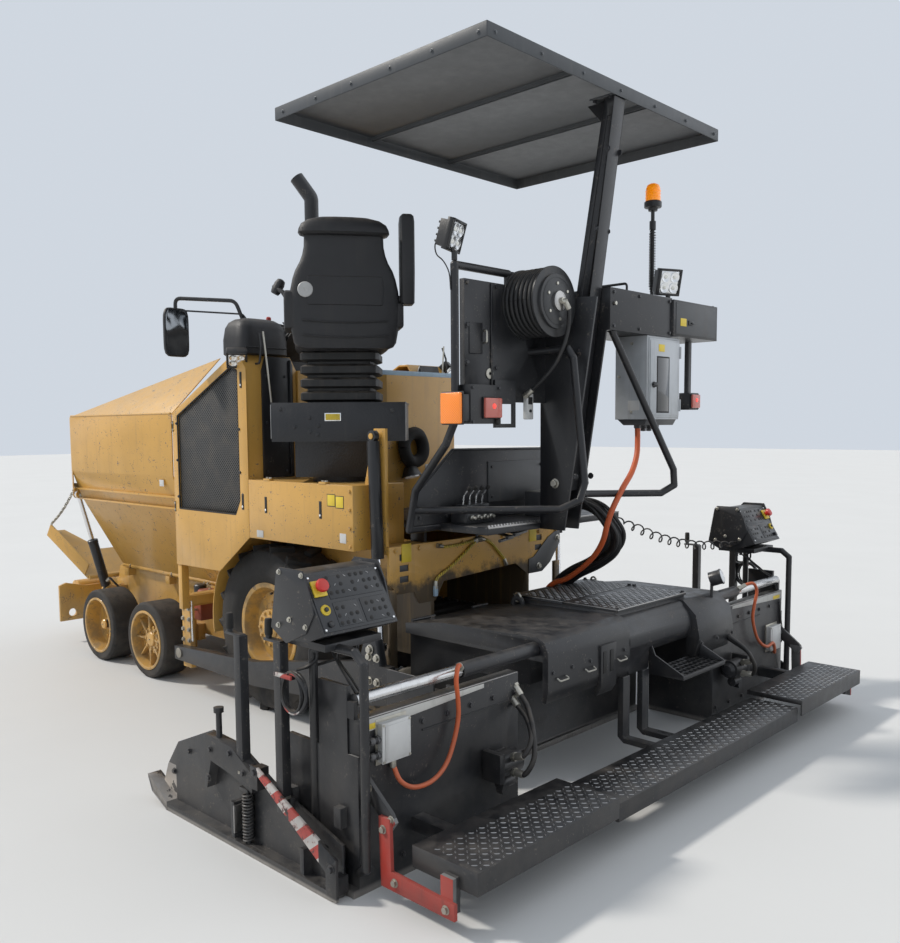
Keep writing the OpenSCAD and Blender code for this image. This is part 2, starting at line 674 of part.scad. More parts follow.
module on_lift_cylinder() {
  from_axle() both_sides() translate([lift_top[0], lift_y, lift_top[1]]) rotate([0, 180 - lift_tilt, 0]) children();
}
module lift_barrels() {
  color(black) on_lift_cylinder() {
    difference() {
      union() {
        rotate([90, 0, 0]) translate([0, 0, -16]) cylinder(h = 32, r = 30, $fn = 32);
        translate([0, 0, 25]) cylinder(h = 623, r = 34, $fn = 32);
      }
      rotate([90, 0, 0]) translate([0, 0, -60]) cylinder(h = 120, r = pin_r + 0.3, $fn = 32);
      translate([0, 0, 120]) cylinder(h = 620, r = 16.2, $fn = 32);
    }
  }
}
module lift_rods() {
  color(bright) on_lift_cylinder() {
    translate([0, 0, 450]) cylinder(h = lift_len - 450 - 25, r = 16, $fn = 32);
    difference() {
      translate([0, 0, lift_len]) rotate([90, 0, 0]) cylinder(h = 32, r = 30, center = true, $fn = 32);
      for (side = [-1, 1]) translate([0, side * 16, lift_len]) rotate([90, 0, 0])
        cylinder(h = 4, r = 17, center = true, $fn = 32);
    }
  }
}
tow_pin = [880, 250];
module tow_brackets() {
  both_sides() {
    difference() {
      block([tow_pin[0] - 50, 764, 140], [tow_pin[0] + 50, 800, 640]);
      bar_y(tow_pin[0], tow_pin[1], 700, 820, 20.05, 48);
    }
    block([tow_pin[0] - 40, frame_y, 560], [tow_pin[0] + 40, 765, 640]);
    block([tail_front, frame_y, 1090], [panel_rear - seat_gap, lift_y - lift_gap - 18 - seat_gap, 1130]);
  }
}
// Gussets behind the side panels, which hold the tops of the lift cylinders
module lift_brackets() {
  color(paint) from_axle() both_sides() {
    side_plate(lift_y - lift_gap - 18, lift_y - lift_gap, [
      [-1098, 1090], [-1098, 1760], [-1010, 1760], [-930, panel_top + seat_gap],
      [panel_rear - seat_gap, panel_top + seat_gap], [panel_rear - seat_gap, 1090]
    ]);
    bar_y(lift_top[0], lift_top[1], lift_y - lift_gap - 1, lift_y + 20, pin_r);
  }
}
module tow_arms() {
  color(black) from_axle() both_sides() {
    side_plate(arm_in, arm_out, [
      [940, 200], [940, 290], [0, 340], [-1000, 520], [-1040, 650], [-1130, 650], [-1160, 520],
      [-1220, 520], [-1220, 320], [-900, 260], [0, 190]
    ]);
    bar_y(lift_eye[0], lift_eye[1], lift_y + 16 + seat_gap, arm_in + 1, 30);
    bar_y(tow_pin[0], tow_pin[1], arm_in - 40, arm_in + 1, 20, 48);
  }
}
module screed() {
  x0 = screed_front - screed_depth;
  color(black) from_axle() {
    block([x0, -screed_half_w, 0], [screed_front, screed_half_w, 30]);
    block([x0 + 20, -screed_half_w, 30], [screed_front, screed_half_w, 420]);
    both_sides() {
      block([x0 + 100, screed_half_w, 60], [screed_front, screed_half_w + 12, 520]);
    }
  }
}
cover_rear = -2040;
tube_x = -2090;
tube_z = 745;
tube_r = 26;
stage_r = 33;
fixed_r = 41;
stage_out = 1240;
stage_in = 620;
plate_top = 680;
slot_rear = -2140;
cover_left = 735;
cover_right = -960;
step_top = 822;
module screed_cover() {
  color(black) from_axle() difference() {
    union() {
      side_plate(-700, 700, [
        [screed_front - 10, 420 + seat_gap], [screed_front - 10, 700], [cover_rear, 700],
        [cover_rear, 560], [-1661, 560], [-1661, 420 + seat_gap]
      ]);
      bar_y(tube_x, tube_z, -700, 700, fixed_r, 48);
      side_plate(60, cover_left, [
        [screed_front - 10, 690], [screed_front - 10, 742], [-1500, 782], [-2110, 800], [-2150, 780], [-2172, 730],
        [-2172, 560], [-2160, 500], [-2141, 500], [-2141, 560], [-2120, 690]
      ]);
      side_plate(200, 330, [[-2172, 700], [-2184, 700], [-2184, 490], [-2160, 450], [-2146, 450], [-2146, 700]]);
      bar_y(-2060, 665, -580, 60, 115, 96);
      block([-2165, -130, 500], [slot_rear - 1, 61, 640]);
      block([-2085, -630, 700], [-1400, 60, step_top - 14]);
      for (x = [-2092, -1740]) block([x, -640, step_top - 14], [x + 346, 50, step_top]);
      side_plate(cover_right, -560, [
        [screed_front - 10, 690], [screed_front - 10, 742], [-1500, 782], [-2120, 790], [-2200, 716], [-2225, 590],
        [-2190, 480], [-2141, 480], [-2120, 690]
      ]);
      side_plate(-620, -610, [[-2345, 455], [-2345, 480], [-2180, 560], [-2145, 640], [-2141, 455]]);
      side_plate(-180, -170, [[-2345, 455], [-2345, 480], [-2180, 560], [-2145, 640], [-2141, 455]]);
      difference() {
        block([-2350, -620, 455], [-2150, -170, 477]);
        for (x = [-2340 : 38 : -2180], y = [-608 : 44 : -220]) block([x, y, 450], [x + 30, y + 36, 480]);
      }
      for (y = [-640, 90]) translate([-1460, y, 780]) rotate([90, 0, 0]) difference() {
        cylinder(h = 16, r = 46, center = true, $fn = 32);
        cylinder(h = 20, r = 20, center = true, $fn = 32);
      }
      rod([-2140, -850, 770], [-2140, -850, 850], 9);
      translate([-2130, -850, 872]) rotate([0, -70, 20]) cylinder(h = 70, r = 42, $fn = 32);
    }
    bar_y(tube_x, tube_z, cover_right - 1, cover_left + 1, stage_r + seat_gap, 48);
    block([slot_rear, -1100, 0], [cover_rear + 1, 1100, plate_top + 10]);
  }
}
ext_front = -1700;
ext_rear = -2130;
// The middle stage of a guide tube, which slides between the screed and its extension
module guide_sleeve() {
  color(bright) from_axle() difference() {
    bar_y(tube_x, tube_z, stage_in, stage_out, stage_r, 48);
    bar_y(tube_x, tube_z, stage_in - 1, stage_out + 1, tube_r + seat_gap, 48);
  }
}
gate_in = ext_outer + 1;
box_y = [1560, 1929];
post_x = [-1870, -2170];
post_y = 1834;
module extension(junction_z) {
  color(black) from_axle() {
    block([ext_rear, ext_inner, 0], [ext_front, ext_outer, 30]);
    block([ext_rear, ext_inner, 30], [ext_rear + 60, ext_outer - 40, plate_top]);
    block([ext_rear, ext_inner, 30], [ext_front, ext_inner + 16, 540]);
    block([ext_rear, ext_outer - 50, 30], [ext_front, ext_outer - 30, 540]);
    for (x = [-2060, -1760]) block([x, ext_outer - 31, 250], [x + 40, gate_in - seat_gap, 330]);
    block([ext_rear + 59, ext_outer - 50, 539], [ext_front - 200, ext_outer - 30, 800]);
    bar_y(tube_x, tube_z, 860, ext_outer - 49, tube_r);
    block([tube_x - 20, ext_outer - 51, plate_top - 1], [tube_x + 20, ext_outer - 31, tube_z]);
    bent_rod([
      [post_x[0], post_y, 60], [post_x[0], post_y, 900], [post_x[0] - 50, post_y, 938],
      [post_x[1] + 50, post_y, 938], [post_x[1], post_y, 900], [post_x[1], post_y, 120], [ext_rear + 10, post_y - 10, 90]
    ], 18);
    side_plate(box_y[0], box_y[1], [
      [-1790, 1205], [-1815, 1222], [-1935, 1222], [-2062, 1004], [-1965, 968], [-1835, 958], [-1752, 1000]
    ]);
    for (y = [box_y[0] - 6, box_y[1]]) side_plate(y, y + 6, [
      [-1780, 1215], [-1800, 1236], [-1945, 1236], [-1985, 1160], [-2010, 1080], [-1960, 1000], [-1835, 945], [-1740, 995]
    ]);
    block([-2030, 1620, 934], [-1782, 1900, 962]);
    block([-2162, 1600, junction_z], [ext_rear + 1, 1740, junction_z + 150]);
    for (z = [junction_z + 30, junction_z + 90]) bar_y(-2145, z, 1738, 1772, 13, 24);
    bar_y(-2188, 320, 990, 1120, 52);
    block([-2240, 1118, 262], [-2140, 1150, 388]);
    block([-2200, 1000, 280], [ext_rear + 1, 1060, 360]);
    bar_y(-2190, 240, 1020, 1100, 26);
    block([-2200, 1030, 240], [-2170, 1090, 290]);
    side_plate(1796, 1812, [
      [-2215, 335], [-2275, 335], [-2280, 140], [-2600, 130], [-2600, 70], [-2225, 70]
    ]);
    side_plate(1780, 1797, [[ext_rear + 1, 460], [ext_rear + 1, 380], [-2260, 280], [-2290, 320], [-2270, 350]]);
    block([walk_rear, ext_inner, walk_z - 25], [walk_rear + walk_depth, 1765, walk_z]);
    block([walk_rear, ext_inner, walk_z - 84], [walk_rear + 8, 1765, walk_z - 24]);
    block([walk_rear, 1757, walk_z - 84], [walk_rear + walk_depth, 1765, walk_z - 24]);
    block([walk_rear + walk_depth - 20, 1500, walk_z - 80], [ext_rear + 1, 1560, walk_z - 24]);
    block([-2580, 1760, 80], [-2520, 1797, walk_z - 40]);
  }
}
module end_gate() {
  color(black) from_axle() {
    side_plate(gate_in, gate_in + 14, [
      [-2085, 0], [-860, 0], [-748, 70], [-800, 190], [-900, 320], [-1190, 440], [-1410, 430], [-1640, 330], [-2085, 200]
    ]);
    side_plate(gate_in, gate_in + 68, [[-2085, 0], [-870, 0], [-735, 60], [-700, 130], [-730, 118], [-880, 36], [-2085, 36]]);
    side_plate(gate_in + 13, gate_in + 58, [
      [-1210, 440], [-1410, 430], [-1560, 350], [-1560, 270], [-1400, 310], [-1250, 330], [-1215, 200], [-1195, 200]
    ]);
    side_plate(gate_in + 57, gate_in + 69, [[-1560, 395], [-1610, 395], [-2110, 170], [-2110, 100], [-2060, 100]]);
    side_plate(gate_in + 57, gate_in + 69, [[-2050, 150], [-2112, 170], [-2112, 6], [-2050, 6]]);
    block([-2100, gate_in, 20], [-2060, gate_in + 58, 90]);
    block([-1600, gate_in, 290], [-1550, gate_in + 58, 380]);
    translate([-1500, gate_in + 36, 36]) {
      cylinder(h = 230, r = 9, $fn = 24);
      for (z = [20 : 14 : 200]) translate([0, 0, z]) cylinder(h = 7, r = 22, $fn = 24);
    }
    block([-1530, gate_in + 13, 262], [-1470, gate_in + 60, 276]);
    block([-1420, gate_in + 13, 30], [-1396, gate_in + 56, 190]);
    block([-1900, gate_in + 13, 30], [-1876, gate_in + 56, 140]);
    translate([-1470, gate_in + 34, 380]) {
      translate([-22, -20, -40]) cube([44, 40, 574]);
      translate([-16, -15, 530]) cube([110, 30, 10]);
      translate([78, 0, 530]) cylinder(h = 84, r = 13, $fn = 24);
    }
    translate([-1750, gate_in + 34, 240]) {
      translate([-22, -20, 0]) cube([44, 40, 690]);
      translate([-16, -15, 686]) cube([110, 30, 10]);
      translate([78, 0, 686]) cylinder(h = 84, r = 13, $fn = 24);
    }
    block([-1790, gate_in, 240], [-1710, gate_in + 30, 300]);
    translate([-1280, gate_in + 30, 400]) {
      cylinder(h = 150, r = 13, $fn = 24);
      translate([0, 0, 146]) cylinder(h = 22, r = 22, $fn = 24);
    }
    for (lean = [-5, 6]) translate([-1842, gate_in + 42, 745]) rotate([90 + lean, 0, 0]) rotate_extrude($fn = 40)
      translate([78, 0]) circle(r = 8, $fn = 16);
    block([-1850, gate_in + 34, 800], [-1740, gate_in + 64, 816]);
  }
}
module walkway() {
  low = walk_z - 64;
  color(black) from_axle() {
    block([walk_rear + 14, -880, low], [walk_rear + walk_depth - 28, 880, walk_z - 34]);
    block([walk_rear + 14, -880, low - 50], [walk_rear + 22, 880, low + 1]);
    both_sides() {
      block([walk_rear + 14, 872, low - 50], [walk_rear + walk_depth - 28, 880, low + 1]);
      side_plate(60, 120, [
        [walk_rear + walk_depth - 60, low], [walk_rear + walk_depth - 60, low - 26],
        [ext_rear - 45, low - 26], [slot_rear - 2, low], [slot_rear - 2, 500 - seat_gap],
        [ext_rear - 45, 500 - seat_gap], [ext_rear - 45, low]
      ]);
    }
  }
}

frame();
engine();
hood();
towers();
tower_grilles();
side_panels();
conveyor();
push_beam();
push_rollers();
wing();  // left_wing
mirror([0, 1, 0]) wing();  // right_wing
wing_barrel();  // wing_barrel_left
mirror([0, 1, 0]) wing_barrel();  // wing_barrel_right
wing_rod();  // wing_rod_left
mirror([0, 1, 0]) wing_rod();  // wing_rod_right
apron();
bogie_beams();
lift_brackets();
knuckle(front_bogie_x);  // knuckle_front_left
mirror([0, 1, 0]) knuckle(front_bogie_x);  // knuckle_front_right
knuckle(rear_bogie_x);  // knuckle_rear_left
mirror([0, 1, 0]) knuckle(rear_bogie_x);  // knuckle_rear_right
bogie_tyre(front_bogie_x);  // bogie_tyre_front_left
mirror([0, 1, 0]) bogie_tyre(front_bogie_x);  // bogie_tyre_front_right
bogie_tyre(rear_bogie_x);  // bogie_tyre_rear_left
mirror([0, 1, 0]) bogie_tyre(rear_bogie_x);  // bogie_tyre_rear_right
bogie_rim(front_bogie_x, 46, 90, 0);  // bogie_rim_front_left
mirror([0, 1, 0]) bogie_rim(front_bogie_x, 46, 90, 0);  // bogie_rim_front_right
bogie_rim(rear_bogie_x, 88, 60, 8);  // bogie_rim_rear_left
mirror([0, 1, 0]) bogie_rim(rear_bogie_x, 88, 60, 8);  // bogie_rim_rear_right
drive_tyre();  // drive_tyre_left
mirror([0, 1, 0]) drive_tyre();  // drive_tyre_right
drive_rim();  // drive_rim_left
mirror([0, 1, 0]) drive_rim();  // drive_rim_right
deck();
operator_console();
seat_base();
seat();
rear_guard();
hose_reel();
cabinet();
work_lamps();
side_mirror();
exhaust();
mast();
roof();
auger();  // auger_left
mirror([0, 1, 0]) auger();  // auger_right
lift_barrels();
lift_rods();
tow_arms();
screed();
screed_cover();
guide_sleeve();  // guide_sleeve_left
mirror([0, 1, 0]) guide_sleeve();  // guide_sleeve_right
extension(500);  // extension_left
mirror([0, 1, 0]) extension(318);  // extension_right
end_gate();  // end_gate_left
mirror([0, 1, 0]) end_gate();  // end_gate_right
walkway();
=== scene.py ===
import json
from math import cos, pi, radians, sin, tan, tau

import bpy
from mathutils import Matrix, Vector


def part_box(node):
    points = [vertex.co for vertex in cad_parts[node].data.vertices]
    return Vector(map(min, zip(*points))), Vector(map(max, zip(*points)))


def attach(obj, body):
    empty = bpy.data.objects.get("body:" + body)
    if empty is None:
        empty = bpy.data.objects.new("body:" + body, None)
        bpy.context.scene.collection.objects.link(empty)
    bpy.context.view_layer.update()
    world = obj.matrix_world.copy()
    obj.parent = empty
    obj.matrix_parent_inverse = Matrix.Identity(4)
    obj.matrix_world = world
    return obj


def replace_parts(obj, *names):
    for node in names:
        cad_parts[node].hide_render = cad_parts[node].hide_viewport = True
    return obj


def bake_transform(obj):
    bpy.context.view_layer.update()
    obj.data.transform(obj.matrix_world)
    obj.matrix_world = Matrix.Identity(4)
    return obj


bl_info = {
    "name": "Asphalt Paver",
    "version": (1, 0, 0),
    "blender": (4, 5, 0),
    "location": "3D View > Sidebar > Paver",
    "description": "Dresses the frame of a small wheeled asphalt paver with its finishes and fittings",
    "category": "Object",
}

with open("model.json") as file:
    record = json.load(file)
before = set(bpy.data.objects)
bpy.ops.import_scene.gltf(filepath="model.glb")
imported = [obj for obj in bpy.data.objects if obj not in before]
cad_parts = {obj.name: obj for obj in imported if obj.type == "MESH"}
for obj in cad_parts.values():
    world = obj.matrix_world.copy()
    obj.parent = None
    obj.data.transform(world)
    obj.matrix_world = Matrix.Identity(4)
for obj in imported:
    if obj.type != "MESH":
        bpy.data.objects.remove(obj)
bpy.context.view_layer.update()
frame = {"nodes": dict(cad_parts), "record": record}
NODES = frame["nodes"]


def middle(node):
    """The middle of a frame node's box."""
    low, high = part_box(node)
    return (low + high) / 2


AXLE_X = middle("drive_tyre_left").x


def at(x, y, z):
    """A place in metres from millimetres ahead of the drive axle, to its left and above the floor."""
    return Vector((AXLE_X + x / 1000, y / 1000, z / 1000))


# Directions that faces look in
UP, DOWN = (0, 0, 1), (0, 0, -1)
LEFT, RIGHT = (0, 1, 0), (0, -1, 0)
AHEAD, BACK = (1, 0, 0), (-1, 0, 0)

# Points closer than this, in metres, are merged: in the new pieces and on the frame's nodes
MERGE, NODE_MERGE = 0.00002, 0.0002

# Angles in degrees: the least that is bevelled on a node, and the most that is shaded smooth there
BEVEL_ANGLE, SMOOTH_ANGLE = 38, 32

# The two sides, with the sign of Y on each
SIDES = (("left", 1), ("right", -1))
MIRROR = Matrix.Diagonal((1, -1, 1, 1))


def cad_top(name):
    """The height of a frame node's top, in millimetres."""
    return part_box(name)[1].z * 1000


# Sizes and colours that a user may change


class PaverSizes(bpy.types.PropertyGroup):
    """Sizes of the small fittings."""

    edge: bpy.props.FloatProperty(
        name="Edge", description="Width of the rounded edges of plates", default=0.0035, unit="LENGTH")
    bolt: bpy.props.FloatProperty(
        name="Bolt", description="Width across a bolt's head", default=0.026, unit="LENGTH")
    floor: bpy.props.FloatProperty(
        name="Floor", description="Side of the floor", default=120.0, unit="LENGTH")


class PaverColours(bpy.types.PropertyGroup):
    """Base colours of the finishes."""

    paint: bpy.props.FloatVectorProperty(
        name="Paint", description="Machine yellow", default=(0.60, 0.333, 0.070), subtype="COLOR")
    black: bpy.props.FloatVectorProperty(
        name="Black", description="Black paint", default=(0.018, 0.0185, 0.021), subtype="COLOR")
    roof: bpy.props.FloatVectorProperty(
        name="Roof", description="Dark grey of the canopy", default=(0.055, 0.06, 0.066), subtype="COLOR")
    floor: bpy.props.FloatVectorProperty(
        name="Floor", description="Pale floor", default=(0.62, 0.62, 0.61), subtype="COLOR")


def sizes():
    """The sizes that are set in the scene."""
    return bpy.context.scene.paver_sizes


def colours():
    """The colours that are set in the scene."""
    return bpy.context.scene.paver_colours


# Shader maths and finishes


class Value:
    """A socket of a material. Arithmetic on it adds Math nodes."""

    def __init__(self, look, socket):
        self.look = look
        self.socket = socket

    def maths(self, operation, *values):
        """The result of one Math node."""
        return self.look.node("ShaderNodeMath", {"operation": operation}, dict(enumerate(values)))[0]

    def __add__(self, other):
        return self.maths("ADD", self, other)

    def __radd__(self, other):
        return self.maths("ADD", other, self)

    def __sub__(self, other):
        return self.maths("SUBTRACT", self, other)

    def __rsub__(self, other):
        return self.maths("SUBTRACT", other, self)

    def __mul__(self, other):
        return self.maths("MULTIPLY", self, other)

    def __rmul__(self, other):
        return self.maths("MULTIPLY", other, self)

    def __gt__(self, other):
        return self.maths("GREATER_THAN", self, other)

    def __lt__(self, other):
        return self.maths("LESS_THAN", self, other)

    def sine(self):
        return self.maths("SINE", self)

    def wrap(self, step):
        """The rest of a division by step, never negative."""
        return self.maths("WRAP", self, step, 0.0)

    def apart(self):
        """The value without its sign."""
        return self.maths("ABSOLUTE", self)

    def least(self, other):
        return self.maths("MINIMUM", self, other)

    def most(self, other):
        return self.maths("MAXIMUM", self, other)

    def ease(self, low, high):
        """0 below low, 1 above high, smooth between; the other way round where low is the larger."""
        turned = low > high
        made = self.look.node(
            "ShaderNodeMapRange", {"interpolation_type": "SMOOTHSTEP"},
            {"Value": self, "From Min": min(low, high), "From Max": max(low, high)})[0]
        return 1 - made if turned else made


class Outputs:
    """A node's outputs, by number or name."""

    def __init__(self, look, node):
        self.look = look
        self.made = node

    def __getitem__(self, key):
        return Value(self.look, self.made.outputs[key])


class Look:
    """A material that is built up as expressions."""

    def __init__(self, name):
        self.material = bpy.data.materials.new(name)
        self.material.use_nodes = True
        self.tree = self.material.node_tree
        self.tree.nodes.clear()
        self.shader = self.tree.nodes.new("ShaderNodeBsdfPrincipled")
        output = self.tree.nodes.new("ShaderNodeOutputMaterial")
        self.tree.links.new(self.shader.outputs[0], output.inputs[0])
        coordinates = self.node("ShaderNodeTexCoord")
        self.place, self.facing = coordinates["Object"], coordinates["Normal"]

    def node(self, kind, settings=None, sockets=None):
        """Adds a node: its settings first, then the values or links of its sockets."""
        made = self.tree.nodes.new(kind)
        for key, value in (settings or {}).items():
            setattr(made, key, value)
        for key, value in (sockets or {}).items():
            self.feed(made.inputs[key], value)
        return Outputs(self, made)

    def feed(self, socket, value):
        """Links a value to a socket, or sets a number or colour on it."""
        if isinstance(value, Value):
            self.tree.links.new(value.socket, socket)
        elif isinstance(value, (tuple, list)) and len(value) == 3 and socket.type == "RGBA":
            socket.default_value = (*value, 1)
        else:
            socket.default_value = value

    def axes(self, of=None):
        """The three numbers of a vector."""
        split = self.node("ShaderNodeSeparateXYZ", None, {0: of or self.place})
        return split[0], split[1], split[2]

    def inside(self, low, high):
        """1 between two corners in millimetres, 0 elsewhere; None leaves an axis open."""
        made = None
        for name, axis, a, b in zip("xyz", self.axes(), low, high):
            if a is None:
                continue
            if name == "x":
                a, b = a + AXLE_X * 1000, b + AXLE_X * 1000
            part = (axis > a / 1000) * (axis < b / 1000)
            made = part if made is None else made * part
        return made

    def noise(self, scale, detail=3.0, stretch=None, rough=0.55):
        place = self.place
        if stretch:
            place = self.node("ShaderNodeMapping", None, {"Vector": place, "Scale": stretch})[0]
        return self.node("ShaderNodeTexNoise", None, {
            "Vector": place, "Scale": scale, "Detail": detail, "Roughness": rough})["Fac"]

    def mix(self, share, a, b, blend="MIX"):
        return self.node("ShaderNodeMix", {"data_type": "RGBA", "blend_type": blend},
                         {0: share, 6: a, 7: b})[2]

    def bump(self, height, distance, under=None):
        sockets = {"Height": height, "Distance": distance, "Strength": 1.0}
        if under:
            sockets["Normal"] = under
        return self.node("ShaderNodeBump", None, sockets)["Normal"]

    def set(self, **sockets):
        """Feeds the shader's sockets, named with _ for a space."""
        for key, value in sockets.items():
            self.feed(self.shader.inputs[key.replace("_", " ")], value)
        return self.material


def dimmed(colour, share):
    """A colour at a share of its strength, or lighter where the share is above 1."""
    return tuple(c * share for c in colour)


def finish(name, base, rough=0.45, metal=0.0, dust=(0.23, 0.19, 0.15), dusty=0.35, chips=0.0,
           chip_colour=(0.10, 0.095, 0.09), grain=260.0, grain_depth=0.0004, streaks=0.3, dents=0.0, coat=0.0,
           tone=0.25, low_dirt=0.5, zones=None):
    """A painted, moulded or metal surface: mottled colour, settled dust, streaks, chips and a fine grain.
    Zones are areas with a colour, roughness and metal of their own."""
    look = Look(name)
    height = look.axes()[2]
    up = look.axes(look.facing)[2]
    cloud = look.noise(1.7, 6.0, rough=0.62)
    small = look.noise(17.0, 5.0, rough=0.6)
    fine = look.noise(95.0, 4.0)
    runs = look.noise(1.0, 4.0, stretch=(24.0, 24.0, 1.6), rough=0.6)
    colour = look.mix(cloud.ease(0.36, 0.66), base, dimmed(base, 1 - tone))
    colour = look.mix(small.ease(0.45, 0.75) * 0.7 * tone, colour, dimmed(base, 1.18))
    level = rough + (small - 0.5) * 0.22
    shine = metal
    plain = 1.0
    for area, shade, gloss, metallic in (zones(look) if zones else ()):
        plain = plain * (1 - area)
        colour = look.mix(area, colour, look.mix(small, dimmed(shade, 0.82), dimmed(shade, 1.12)))
        level = level + area * (gloss - rough)
        shine = shine + area * (metallic - metal)
    run_mask = runs.ease(0.52, 0.72) * (1 - up.apart()).ease(0.3, 0.9) * streaks
    colour = look.mix(run_mask, colour, tuple((b * 0.45 + d * 0.30) for b, d in zip(base, dust)))
    settled = up.ease(0.35, 0.95) * small.ease(0.30, 0.62) * dusty
    low = height.ease(0.85, 0.05) * look.noise(5.5, 6.0, rough=0.65).ease(0.36, 0.62) * low_dirt
    grime = settled.most(low)
    colour = look.mix(grime, colour, dust)
    level = level + grime * 0.35 + run_mask * 0.2
    if chips:
        chipped = (fine * 0.55 + small * 0.45).ease(0.60 - 0.05 * chips, 0.615 - 0.05 * chips)
        chipped = chipped * cloud.ease(0.60, 0.46) * plain
        colour = look.mix(chipped, colour, chip_colour)
        level = level + chipped * 0.15
    normal = look.bump(look.noise(grain, 2.0), grain_depth)
    if dents:
        normal = look.bump(look.noise(3.2, 2.0), dents, normal)
    material = look.set(Base_Color=colour, Roughness=level.most(0.06).least(0.97), Metallic=shine,
                        Normal=normal)
    if coat:
        look.set(Coat_Weight=coat)
        look.shader.inputs["Coat Roughness"].default_value = 0.12
    return material


def lens(name, base, glow=0.0, glow_colour=None):
    """A coloured lamp lens with moulded ribs."""
    look = Look(name)
    across, along, height = look.axes()
    ribs = (height * 520.0).sine() * (across * 520.0 + along * 520.0).sine()
    colour = look.mix(ribs.ease(-1.0, 1.0), dimmed(base, 0.7), base)
    look.set(Base_Color=colour, Roughness=0.16 + ribs * 0.04, Normal=look.bump(ribs, 0.0006), Coat_Weight=0.6)
    if glow:
        look.set(Emission_Color=look.mix(ribs.ease(-1.0, 1.0), dimmed(glow_colour or base, 0.8),
                                         glow_colour or base))
        look.shader.inputs["Emission Strength"].default_value = glow
    return look.material


def perforated(name, base):
    """Black sheet with staggered round holes, the holes painted near black as the shade behind the sheet."""
    look = Look(name)
    across, _, height = look.axes()
    lattice = 1 / 0.022
    u = ((across + height) * lattice).wrap(1.0) - 0.5
    v = ((across - height) * lattice).wrap(1.0) - 0.5
    hole = (u * u + v * v).ease(0.14, 0.10)
    dust = look.noise(9.0, 5.0, rough=0.6).ease(0.42, 0.7)
    colour = look.mix(dust * 0.5, base, (0.11, 0.095, 0.075))
    # Painted shade: the holes are near black
    colour = look.mix(hole, colour, (0.002, 0.002, 0.002))
    return look.set(Base_Color=colour, Roughness=0.5 + hole * 0.4, Normal=look.bump(1 - hole, 0.002))


def woven(name, base):
    """Seat cloth: a fine weave in the two directions of the surface, dusty in its hollows."""
    look = Look(name)
    across, along, height = look.axes()
    threads = ((across + along) * 2400.0).sine() * ((across - along) * 2400.0 + height * 2400.0).sine()
    worn = look.noise(6.0, 5.0, rough=0.6)
    colour = look.mix(threads.ease(-1.0, 1.0), dimmed(base, 0.72), dimmed(base, 1.3))
    colour = look.mix(worn.ease(0.45, 0.7) * 0.5, colour, (0.10, 0.092, 0.082))
    normal = look.bump(look.noise(38.0, 3.0), 0.0012, look.bump(threads, 0.0005))
    return look.set(Base_Color=colour, Roughness=0.74 + worn * 0.12, Normal=normal)


def wound(name, base, dark, pitch):
    """A hose wrapped in a spiral guard, its turns crossing the surface in bands, the darker bands painted
    shade between the turns.
    """
    look = Look(name)
    across, along, height = look.axes()
    bands = ((along * 0.86 + height * 0.5 + across * 0.3) * (tau / pitch)).sine()
    dirt = look.noise(22.0, 5.0, rough=0.65).ease(0.42, 0.66)
    # The darker yellow is painted shade in the grooves between the turns
    colour = look.mix(bands.ease(-0.7, 0.1), dark, base)
    colour = look.mix(dirt * 0.5, colour, (0.14, 0.12, 0.09))
    return look.set(Base_Color=colour, Roughness=0.45 + dirt * 0.3,
                    Normal=look.bump(bands.ease(-0.9, 0.2), 0.003))


def slanted(look, step=0.11):
    """The pale half of slanted warning stripes."""
    across, _, height = look.axes()
    return ((across * 0.75 + height) * (1 / step)).wrap(1.0) > 0.5


# Areas of the frame's nodes that have a colour of their own, one function a finish


def wing_zones(look):
    """The hopper's insides: steel scoured by asphalt, black in the corners."""
    along = look.axes()[1]
    normal = look.axes(look.facing)
    left = along > 0.0
    inward = (normal[1] * (1 - 2 * left)).ease(0.12, 0.3)
    tar = look.noise(2.6, 6.0, rough=0.68).ease(0.42, 0.60)
    return [(inward, (0.14, 0.125, 0.11), 0.44, 0.55), (inward * tar, (0.022, 0.021, 0.020), 0.7, 0.0)]


def extension_zones(look):
    """Guide tube, red crank, grey link, pale junction box and the rubbed foot of a sliding extension."""
    across, along, height = look.axes()
    side = along.apart()
    rise, reach = height - 0.745, across - at(-2090, 0, 0).x
    tube = (rise * rise + reach * reach < 0.0275 ** 2) * (side > 0.904) * (side < 1.814)
    crank = look.inside((-2601, None, 69), (-2214, None, 336))
    low_box = look.inside((-2163, -1741, 317), (-2128.5, -1599, 469))
    high_box = look.inside((-2163, 1599, 499), (-2128.5, 1741, 651))
    foot = height.ease(0.035, 0.012)
    return [
        (tube, (0.60, 0.60, 0.60), 0.22, 1.0),
        (crank * (side > 1.7963) * (side < 1.8127), (0.34, 0.035, 0.024), 0.5, 0.0),
        (crank * (side > 1.7797) * (side < 1.7963), (0.20, 0.20, 0.20), 0.5, 0.4),
        (low_box.most(high_box), (0.46, 0.46, 0.45), 0.5, 0.0),
        (foot, (0.30, 0.28, 0.26), 0.38, 0.8),
    ]


def gate_zones(look):
    """Faded red and pale stripes on the outer face of an end gate, and its rubbed foot."""
    across, along, height = look.axes()
    rear, front = at(-2010, 0, 0).x, at(-1612, 0, 0).x
    outer = (along.apart() > 1.9222) * (across > rear) * (across < front) * (height > 0.128)
    kept = 1 - look.noise(24.0, 6.0, rough=0.72).ease(0.50, 0.62)
    toe = (across > at(-872, 0, 0).x) * (look.noise(9.0, 4.0) > 0.42)
    foot = height.ease(0.022, 0.008).most(toe * (height < 0.2))
    return [
        (outer * kept, (0.36, 0.05, 0.04), 0.52, 0.0),
        (outer * kept * slanted(look), (0.44, 0.42, 0.40), 0.52, 0.0),
        (foot, (0.34, 0.32, 0.30), 0.34, 0.85),
    ]


